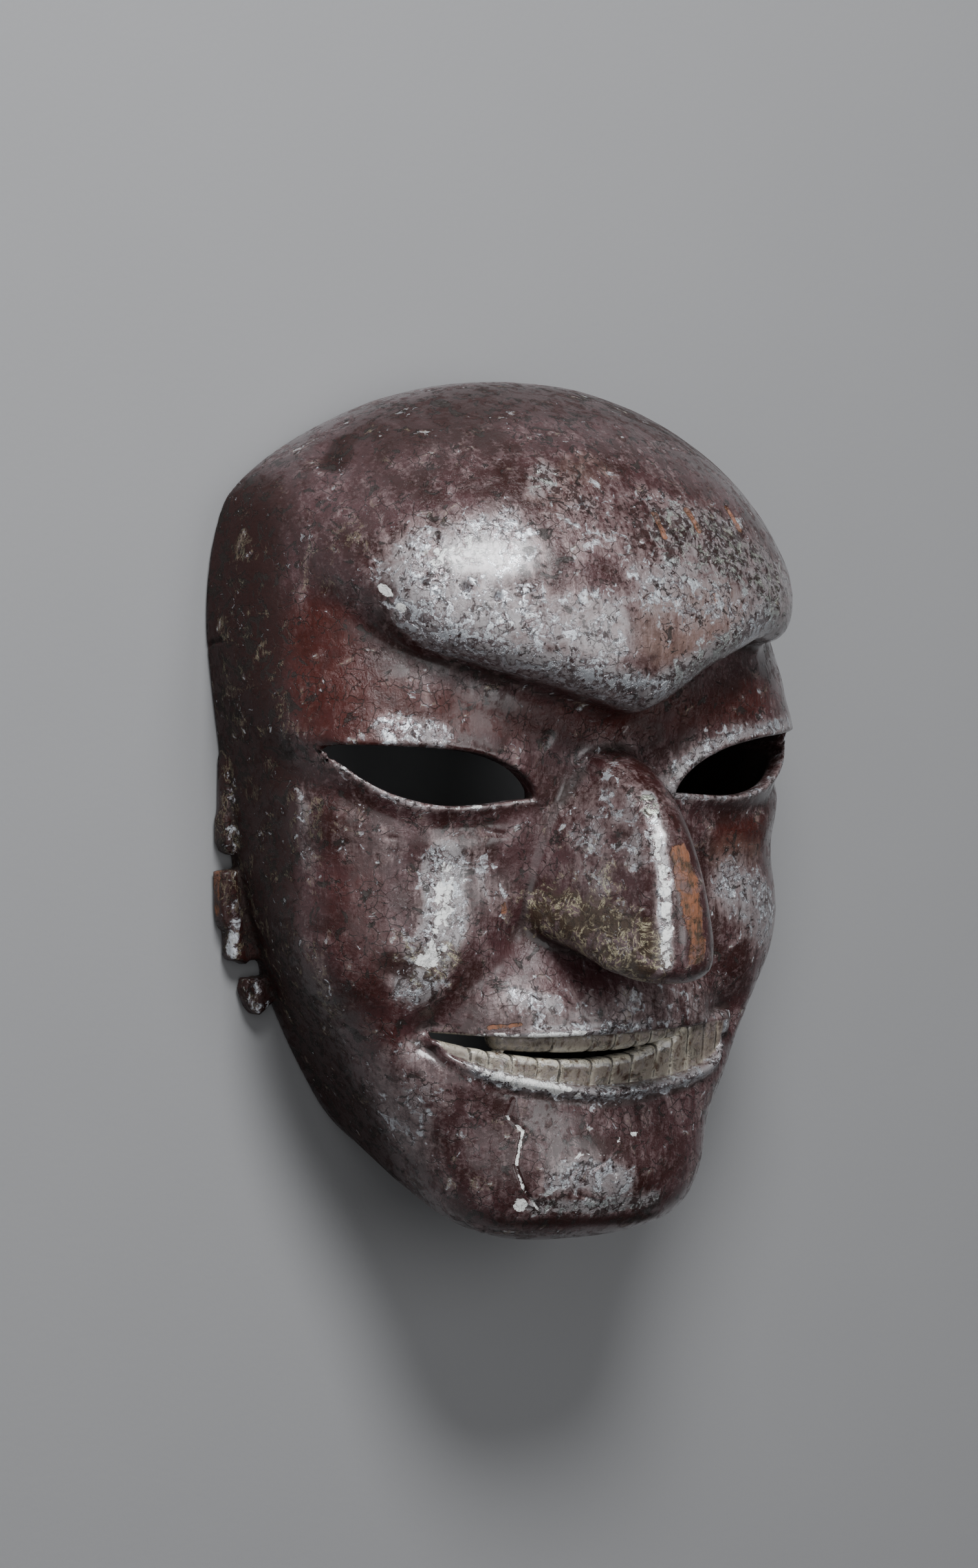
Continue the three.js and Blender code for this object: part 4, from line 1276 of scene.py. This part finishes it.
class Value:
    """A socket of a shader; arithmetic on it adds Math nodes."""

    def __init__(self, shader, socket):
        self.shader = shader
        self.socket = socket

    def __add__(self, other):
        return self.shader.math("ADD", self, other)

    def __sub__(self, other):
        return self.shader.math("SUBTRACT", self, other)

    def __rsub__(self, other):
        return self.shader.math("SUBTRACT", other, self)

    def __mul__(self, other):
        return self.shader.math("MULTIPLY", self, other)

    __radd__ = __add__
    __rmul__ = __mul__


class Shader:
    """Builds one material's nodes."""

    def __init__(self, name):
        self.material = bpy.data.materials.new(name)
        self.material.use_nodes = True
        self.tree = self.material.node_tree
        self.tree.nodes.clear()
        self.place = self.node("ShaderNodeTexCoord", output="Object")

    def node(self, kind, settings=None, sockets=None, output=0):
        made = self.tree.nodes.new(kind)
        for name, value in (settings or {}).items():
            setattr(made, name, value)
        for key, value in (sockets or {}).items():
            if isinstance(value, Value):
                self.tree.links.new(value.socket, made.inputs[key])
            else:
                made.inputs[key].default_value = value
        return Value(self, made.outputs[output]) if made.outputs else None

    def math(self, operation, first, second):
        return self.node("ShaderNodeMath", {"operation": operation}, {0: first, 1: second})

    def mix(self, share, first, second):
        """Goes from the first colour to the second."""
        first, second = [v if isinstance(v, Value) else (*v, 1.0) for v in (first, second)]
        settings = {"data_type": "RGBA", "clamp_factor": True}
        return self.node("ShaderNodeMix", settings, {0: share, 6: first, 7: second}, output=2)

    def attribute(self, name):
        return self.node("ShaderNodeAttribute", {"attribute_name": name}, output="Fac")

    def stretched(self, scale):
        return self.node("ShaderNodeMapping", None, {"Vector": self.place, "Scale": scale})

    def noise(self, wavelength, detail, roughness, distortion=0.0, place=None):
        """Noise from 0 to 1 whose largest grains are a wavelength in millimetres apart."""
        sockets = {
            "Vector": place or self.place, "Scale": 1 / (wavelength * MILLIMETRE), "Detail": detail,
            "Roughness": roughness, "Distortion": distortion,
        }
        return self.node("ShaderNodeTexNoise", None, sockets, output="Fac")

    def bent_place(self, wavelength, detail, reach):
        """The place, moved in all three directions by noise."""
        sockets = {"Vector": self.place, "Scale": 1 / (wavelength * MILLIMETRE), "Detail": detail}
        bend = self.node("ShaderNodeTexNoise", None, sockets, output="Color")
        sockets = {0: bend, "Scale": reach * MILLIMETRE}
        bend = self.node("ShaderNodeVectorMath", {"operation": "SCALE"}, sockets, output="Vector")
        sockets = {0: self.place, 1: bend}
        return self.node("ShaderNodeVectorMath", {"operation": "ADD"}, sockets, output="Vector")

    def cracks(self, wavelength, place):
        """Distance from a net of cracks, as a share of the wavelength."""
        sockets = {"Vector": place, "Scale": 1 / (wavelength * MILLIMETRE)}
        settings = {"feature": "DISTANCE_TO_EDGE"}
        return self.node("ShaderNodeTexVoronoi", settings, sockets, output="Distance")

    def finish(self, colour, roughness, coat, metallic, height, depth):
        """The finished material, with a relief whose depth is given in millimetres."""
        sockets = {"Height": height, "Distance": depth * MILLIMETRE, "Strength": 1.0}
        normal = self.node("ShaderNodeBump", None, sockets, output="Normal")
        sockets = {
            "Base Color": colour, "Roughness": roughness, "Coat Weight": coat, "Metallic": metallic,
            "Normal": normal, "Coat Roughness": COAT_ROUGHNESS, "IOR": LACQUER_IOR,
        }
        principled = self.node("ShaderNodeBsdfPrincipled", None, sockets)
        self.node("ShaderNodeOutputMaterial", None, {"Surface": principled})
        return self.material


# Noises shared by the layers: wavelength in millimetres, detail, roughness and distortion
GRAINS = {
    "broad": (42, 2, 0.5),
    "cloud": (15, 5, 0.6, 0.3),
    "patch": (8, 7, 0.62, 0.7),
    "fleck": (3.8, 7, 0.62, 0.6),
    "grit": (1.4, 5, 0.7),
}
# The same for noises drawn out along the face, and their scales across it, along it and in depth
STREAKS = {
    "streak": ((2.6, 6, 0.7, 0.2), (1.0, 0.16, 0.5)),
    "brushed": ((1.7, 5, 0.65, 0.3), (1.0, 0.3, 0.6)),
}
CRACK_SPACING = 4.2
CRACK_BEND = (3.0, 3.0, 2.2)
LACQUER_RELIEF = 1.0
COAT_ROUGHNESS = 0.22
LACQUER_IOR = 1.36


def rise(level, start, end):
    """A shader value that goes smoothly from 0 at the start to 1 at the end of a level's range."""
    settings = {"interpolation_type": "SMOOTHSTEP", "clamp": True}
    sockets = {0: level, 1: start, 2: end, 3: 0.0, 4: 1.0}
    return level.shader.node("ShaderNodeMapRange", settings, sockets)


class WornLacquer:
    """Aubergine lacquer over wood, rubbed, stained and chipped, with painted teeth and a dark inside.

    Each layer is laid over the last. Its share at a point comes from the marks kept with the mesh, made
    uneven by noise from broad to fine.
    """

    def __init__(self, colours):
        self.colours = colours
        self.shader = s = Shader("worn_lacquer")
        self.colour = None
        self.mark = SimpleNamespace(**{name: s.attribute(name) for name in MARKS})
        self.noise = {name: s.noise(*grain) for name, grain in GRAINS.items()}
        for name, (grain, scale) in STREAKS.items():
            self.noise[name] = s.noise(*grain, s.stretched(scale))
        self.outside = 1 - self.mark.hollow

    def lay(self, share, colour):
        """Lays a colour over what is there."""
        self.colour = self.shader.mix(share, self.colour, colour)

    def blend(self, **shares):
        """A mix of the noises by their shares."""
        return sum(self.noise[name] * share for name, share in shares.items())

    def uneven(self, level, **amounts):
        """A level that the noises raise and lower by the given amounts."""
        for name, amount in amounts.items():
            level = level + (self.noise[name] - 0.5) * amount
        return level

    def lacquer(self):
        """The lacquer and the red ground that shows through it, with a dull film and a tan one."""
        mark, colours = self.mark, self.colours
        whole = rise(self.blend(cloud=0.55, broad=0.45), 0.38, 0.62)
        self.colour = self.shader.mix(whole, colours.deep, colours.lacquer)
        self.lay(rise(self.uneven(mark.red * 0.9, cloud=1.3, patch=1.3), 0.1, 1.1), colours.red)
        clear = (1 - mark.dark) * (1 - mark.red * 0.95)
        film = rise(self.blend(patch=0.7, streak=0.3), 0.49, 0.57) * rise(self.noise["cloud"], 0.4, 0.62)
        self.lay(film * clear * 0.45, colours.haze)
        self.lay(rise(self.blend(grit=0.5, fleck=0.5), 0.5, 0.6) * clear * 0.4, colours.haze)
        self.tan = rise(self.uneven(mark.warm * 0.8, cloud=0.8, patch=1.2), 0.15, 0.8)
        self.lay(self.tan * 0.45, colours.ochre)
        self.lay(rise(self.noise["streak"], 0.47, 0.41) * 0.3, colours.deep)

    def film(self):
        """The pink-grey film beside the rubbed places, which carries their painted sheen too, and the
        painted shade on the sides and crown.
        """
        mark, colours = self.mark, self.colours
        clouded = self.uneven(mark.silver, cloud=0.5, patch=1.2)
        self.veil = rise(self.uneven(clouded, streak=1.6, grit=1), 0.0, 0.8)
        tone = self.shader.mix(rise(clouded, 0.32, 0.75), colours.rose, colours.veil)
        self.lay(self.veil * (1 - mark.red * 0.6) * (0.74 - self.tan * 0.2), tone)
        # Painted shade: the dark marks darken the sides, the crown and the edge under the chin.
        self.lay(rise(self.uneven(mark.dark, cloud=0.8, patch=0.9), 0.3, 0.75) * 0.95, colours.deep)

    def dirt_shade_and_crackle(self):
        """Dark spots, dirt and painted shade in the hollows, and a net of fine cracks."""
        s, mark, colours = self.shader, self.mark, self.colours
        spotting = s.noise(5.5, 8, 0.7, 0.8) + mark.dark * -0.05 + mark.silver * 0.02
        self.spots = rise(spotting, 0.412, 0.39)
        self.lay(self.spots * 0.85, colours.grime_and_shade)
        # Painted shade with the dirt: creases and hollows are darkened by how sharply they bend.
        self.dirt_and_shade = rise(self.uneven(mark.cavity, fleck=0.7), 0.25, 0.85)
        self.lay(self.dirt_and_shade * 0.6, colours.grime_and_shade)
        net = s.cracks(CRACK_SPACING, s.bent_place(*CRACK_BEND))
        self.crackle = rise(net, 0.035, 0.012) * rise(self.blend(patch=0.6, cloud=0.4), 0.49, 0.55)
        self.lay(self.crackle * self.outside * 0.7, colours.grime_and_shade)

    def rubbed_places(self):
        """Silver-grey places and flakes, partly painted sheen like the silver marks, with pits in them and
        along the worn edges.
        """
        s, mark, colours = self.shader, self.mark, self.colours
        self.pale = s.mix(mark.green, colours.silver, colours.green)
        self.rubbed = rise(self.uneven(mark.silver * 0.66, cloud=0.5, patch=1.5, fleck=2.0), 0.38, 0.54)
        rubbed_tone = s.mix(rise(self.blend(fleck=0.6, grit=0.4), 0.46, 0.6), colours.haze, self.pale)
        self.lay(self.rubbed * 0.7, rubbed_tone)
        self.flakes = rise(self.uneven(mark.silver * 0.46, patch=0.9, fleck=2.1, grit=0.7), 0.44, 0.52)
        self.lay(self.flakes * 0.8, self.pale)
        pits = rise(s.noise(2.8, 7, 0.7, 0.6) - mark.eroded * 0.07, 0.42, 0.385)
        self.pits = pits * rise(mark.silver + mark.eroded, 0.2, 0.5)
        self.lay(self.pits * 0.85, colours.deep)
        worn_edge = rise(self.uneven(mark.edge, fleck=1.3, patch=0.6), 0.5, 0.72)
        self.lay(worn_edge * self.outside * 0.6, self.pale)

    def mottling(self):
        """Pale veins over dark brown, as on the nose wing."""
        s, colours = self.shader, self.colours
        worm = s.noise(5.0, 6, 0.66, 1.2) - 0.5
        veins = rise(worm * worm, 0.0011, 0.0002) * rise(self.blend(patch=0.5, fleck=0.5), 0.44, 0.56)
        under_veins = s.mix(rise(self.noise["patch"], 0.5, 0.64), colours.umber, colours.haze)
        self.mottled = rise(self.uneven(self.mark.mottle, patch=2.2, fleck=0.8), 0.2, 0.75)
        self.lay(self.mottled * 0.9, s.mix(veins * 0.95, under_veins, colours.gold))

    def chips_and_scratches(self):
        """The bare pale ground, hair scratches and scattered pale flecks."""
        s, mark, colours = self.shader, self.mark, self.colours
        self.ground = rise(self.uneven(mark.white, patch=0.9, fleck=1.8, grit=0.6), 0.55, 0.62)
        self.lay(self.ground * 0.92, colours.white)
        hair = s.noise(4.0, 6, 0.7, 0.9, s.stretched((1.0, 0.42, 0.8))) - 0.5
        scratched = rise(self.uneven(mark.scratched, patch=3.0), 0.5, 0.8)
        scratches = rise(hair * hair, 0.0006, 0.0001) * scratched
        self.lay(scratches * self.outside * 0.26, colours.gold)
        scattering = self.uneven(s.noise(2.3, 6, 0.66, 0.8) + mark.silver * 0.06, cloud=0.2)
        self.scatter = rise(scattering, 0.665, 0.69)
        self.lay(self.scatter * self.outside * (mark.silver * 0.5 + 0.3), colours.silver)

    def bare_wood(self):
        """Wood laid bare on the nose ridge and in the scratches."""
        s, colours = self.shader, self.colours
        self.bare = rise(self.uneven(self.mark.wood, patch=1.2, fleck=1.2, streak=0.8), 0.4, 0.64)
        grain = s.mix(rise(self.blend(streak=0.6, fleck=0.4), 0.42, 0.56), colours.umber, colours.wood)
        grain = s.mix(rise(self.blend(patch=0.6, grit=0.4), 0.5, 0.62) * 0.5, grain, colours.haze)
        self.lay(self.bare * 0.92, grain)

    def painted_teeth(self):
        """Ivory paint, brown stain and dark lines between the teeth."""
        s, mark, colours = self.shader, self.mark, self.colours
        enamel = s.mix(rise(self.blend(fleck=0.6, brushed=0.4), 0.38, 0.52), colours.stain, colours.ivory)
        enamel = s.mix(rise(self.blend(grit=0.5, patch=0.5), 0.5, 0.55) * 0.5, enamel, colours.veil)
        olden = s.mix(rise(self.blend(fleck=0.5, brushed=0.5), 0.44, 0.58), colours.grime_and_shade, colours.stain)
        enamel = s.mix(mark.old_tooth * 0.85, enamel, olden)
        enamel = s.mix(rise(self.uneven(mark.gap, fleck=1.8), 0.45, 0.85) * 0.85, enamel, colours.grime_and_shade)
        self.lay(mark.teeth, enamel)

    def lining(self):
        """The dark inside."""
        share = rise(self.blend(streak=0.6, cloud=0.4), 0.4, 0.65)
        self.lay(self.mark.hollow, self.shader.mix(share, self.colours.inside, self.colours.deep))

    def surface(self):
        """Roughness, clear coat, silver sheen and relief, from the layers that show."""
        mark = self.mark
        dull = rise(self.blend(patch=0.5, fleck=0.5), 0.47, 0.56)
        roughness = 0.24 - self.veil * 0.05 + dull * 0.16 + self.spots * 0.2 + self.dirt_and_shade * 0.3
        roughness = roughness + self.pits * 0.15 + self.crackle * 0.1 + self.bare * 0.2 + mark.teeth * 0.1
        roughness = self.uneven(roughness + mark.hollow * 0.4, grit=0.2) + mark.dark * 0.3
        kept = self.outside * (1 - self.bare)
        coat = kept * (1 - dull * 0.8) * (1 - mark.dark) * (0.9 - mark.red * 0.4)
        lacquered = kept * (1 - self.ground) * (1 - self.mottled) * (1 - mark.teeth)
        sheen = (self.rubbed * 0.5 + self.veil * 0.25) * lacquered
        relief = self.blend(fleck=0.45, grit=0.2, streak=0.3, cloud=0.5) - self.spots * 0.35
        relief = relief - self.pits * 0.25 - self.rubbed * 0.1 - self.flakes * 0.1 - self.ground * 0.15
        relief = relief - self.bare * 0.3 + self.scatter * 0.1 - self.crackle * 0.3
        roughness = rise(roughness, 0.0, 1.0)
        return self.shader.finish(self.colour, roughness, coat, sheen, relief, LACQUER_RELIEF)


def worn_lacquer(colours):
    """The one material of the mask, layer by layer."""
    finish = WornLacquer(colours)
    finish.lacquer()
    finish.film()
    finish.dirt_shade_and_crackle()
    finish.rubbed_places()
    finish.mottling()
    finish.chips_and_scratches()
    finish.bare_wood()
    finish.painted_teeth()
    finish.lining()
    return finish.surface()


class MASK_OT_carve(bpy.types.Operator):
    """Carve the mask and finish it in worn lacquer"""

    bl_idname = "mask.carve"
    bl_label = "Carve the mask"

    def execute(self, context):
        obj = carve_mask(context.scene.mask_sizes)
        obj.data.materials.append(worn_lacquer(context.scene.mask_colours))
        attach(obj, "root")
        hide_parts("mask")
        return {"FINISHED"}


# The view: the camera stands beside the face's axis, on the side of the viewer's left
VIEW_TURN = math.radians(35)
VIEW_RISE = math.radians(3)
VIEW_DISTANCE = 1500
PIXEL = 0.21
VIEW_TARGET = Vector((0, CENTRE_SHIFT, 45))
IMAGE_SIZE = (1512, 2423)
ORIGIN_PIXEL = (718, 1252)
SENSOR = 36
CLIP = (0.05, 20)

# Each light: its side of the mask as right, up and back of the view, its width and height in metres
LIGHTS = {
    "key": ((0.16, 0.70, 0.69), (0.62, 0.40)),
    "fill": ((0.76, 0.06, 0.64), (0.5, 0.9)),
    "front": ((-0.05, -0.04, 1.0), (1.5, 1.5)),
}
LIGHT_TARGET = Vector((0, 0, 0.05))
LIGHT_DISTANCE = 1.3
LIGHT_COLOUR = (0.97, 0.985, 1.0)
SKY_COLOUR = (0.5, 0.5, 0.52, 1)

FLOOR_SIZE = 8
FLOOR_DROP = 0.0003
FLOOR_ROUGHNESS = 0.85
FLOOR_RELIEF = 0.05
FLOOR_SHADE = 0.96
FLOOR_CLOUD = (60, 3, 0.5)
FLOOR_GRAIN = (2, 2, 0.5)


def view_axes():
    """The directions to the right of the view, up it and back from it."""
    level = math.cos(VIEW_RISE)
    back = Vector((-math.sin(VIEW_TURN) * level, math.sin(VIEW_RISE), math.cos(VIEW_TURN) * level))
    right = Vector((math.cos(VIEW_TURN), 0, math.sin(VIEW_TURN)))
    return right, back.cross(right), back


def add_camera():
    """A camera at the photograph's angle, with the mask's origin at its place in the picture."""
    right, up, back = view_axes()
    focal = VIEW_DISTANCE / PIXEL
    origin = Vector((0, CENTRE_SHIFT, 0)) - VIEW_TARGET
    depth = VIEW_DISTANCE - origin.dot(back)
    target_x = ORIGIN_PIXEL[0] - focal * origin.dot(right) / depth
    target_y = ORIGIN_PIXEL[1] + focal * origin.dot(up) / depth
    aside = right * (IMAGE_SIZE[0] / 2 - target_x) * PIXEL + up * (target_y - IMAGE_SIZE[1] / 2) * PIXEL
    place = (VIEW_TARGET + back * VIEW_DISTANCE + aside) * MILLIMETRE
    data = bpy.data.cameras.new("camera")
    data.lens = SENSOR * focal / IMAGE_SIZE[1]
    data.sensor_width = SENSOR
    data.clip_start, data.clip_end = CLIP
    camera = bpy.data.objects.new("camera", data)
    bpy.context.scene.collection.objects.link(camera)
    turn = Matrix((right, up, back)).transposed().to_4x4()
    camera.matrix_world = Matrix.Translation(place) @ turn
    bpy.context.scene.camera = camera


def add_light(name, direction, size, power):
    """A soft light that faces the mask from a side given as right, up and back of the view."""
    right, up, back = view_axes()
    away = (right * direction[0] + up * direction[1] + back * direction[2]).normalized()
    across = up.cross(away).normalized()
    data = bpy.data.lights.new(name, "AREA")
    data.shape = "ELLIPSE"
    data.size, data.size_y = size
    data.energy = power
    data.color = LIGHT_COLOUR
    light = bpy.data.objects.new(name, data)
    bpy.context.scene.collection.objects.link(light)
    turn = Matrix((across, away.cross(across), away)).transposed().to_4x4()
    light.matrix_world = Matrix.Translation(LIGHT_TARGET + away * LIGHT_DISTANCE) @ turn


class MASK_OT_stage(bpy.types.Operator):
    """Lay a pale floor and set up the soft lights and the camera"""

    bl_idname = "mask.stage"
    bl_label = "Set the stage"

    def execute(self, context):
        stage = context.scene.mask_stage
        bpy.ops.object.select_all(action="DESELECT")
        bpy.ops.mesh.primitive_plane_add(size=FLOOR_SIZE, location=(0, 0, -FLOOR_DROP))
        floor = context.object
        floor.name = "floor"
        s = Shader("floor")
        shade = s.mix(s.noise(*FLOOR_CLOUD), [FLOOR_SHADE * v for v in stage.floor], stage.floor)
        finish = s.finish(shade, FLOOR_ROUGHNESS, 0.0, 0.0, s.noise(*FLOOR_GRAIN), FLOOR_RELIEF)
        floor.data.materials.append(finish)
        for name, (direction, size) in LIGHTS.items():
            add_light(name, direction, size, getattr(stage, name))
        world = bpy.data.worlds.new("studio")
        context.scene.world = world
        world.use_nodes = True
        sky = world.node_tree.nodes["Background"]
        sky.inputs["Color"].default_value = SKY_COLOUR
        sky.inputs["Strength"].default_value = stage.sky
        add_camera()
        return {"FINISHED"}


class MASK_PT_panel(bpy.types.Panel):
    """Lists the steps and the settings."""

    bl_idname = "MASK_PT_panel"
    bl_label = "Carved face mask"
    bl_space_type = "VIEW_3D"
    bl_region_type = "UI"
    bl_category = "Mask"

    def draw(self, context):
        scene = context.scene
        for group in (scene.mask_sizes, scene.mask_colours, scene.mask_stage):
            for name in group.__annotations__:
                self.layout.prop(group, name)
        self.layout.operator("mask.carve")
        self.layout.operator("mask.stage")


CLASSES = (MaskSizes, MaskColours, StageSettings, MASK_OT_carve, MASK_OT_stage, MASK_PT_panel)


def register():
    for item in CLASSES:
        bpy.utils.register_class(item)
    bpy.types.Scene.mask_sizes = bpy.props.PointerProperty(type=MaskSizes)
    bpy.types.Scene.mask_colours = bpy.props.PointerProperty(type=MaskColours)
    bpy.types.Scene.mask_stage = bpy.props.PointerProperty(type=StageSettings)


def unregister():
    del bpy.types.Scene.mask_stage
    del bpy.types.Scene.mask_colours
    del bpy.types.Scene.mask_sizes
    for item in reversed(CLASSES):
        bpy.utils.unregister_class(item)


def main():
    register()
    bpy.ops.mask.carve()
    bpy.ops.mask.stage()


if __name__ == "__main__":
    main()
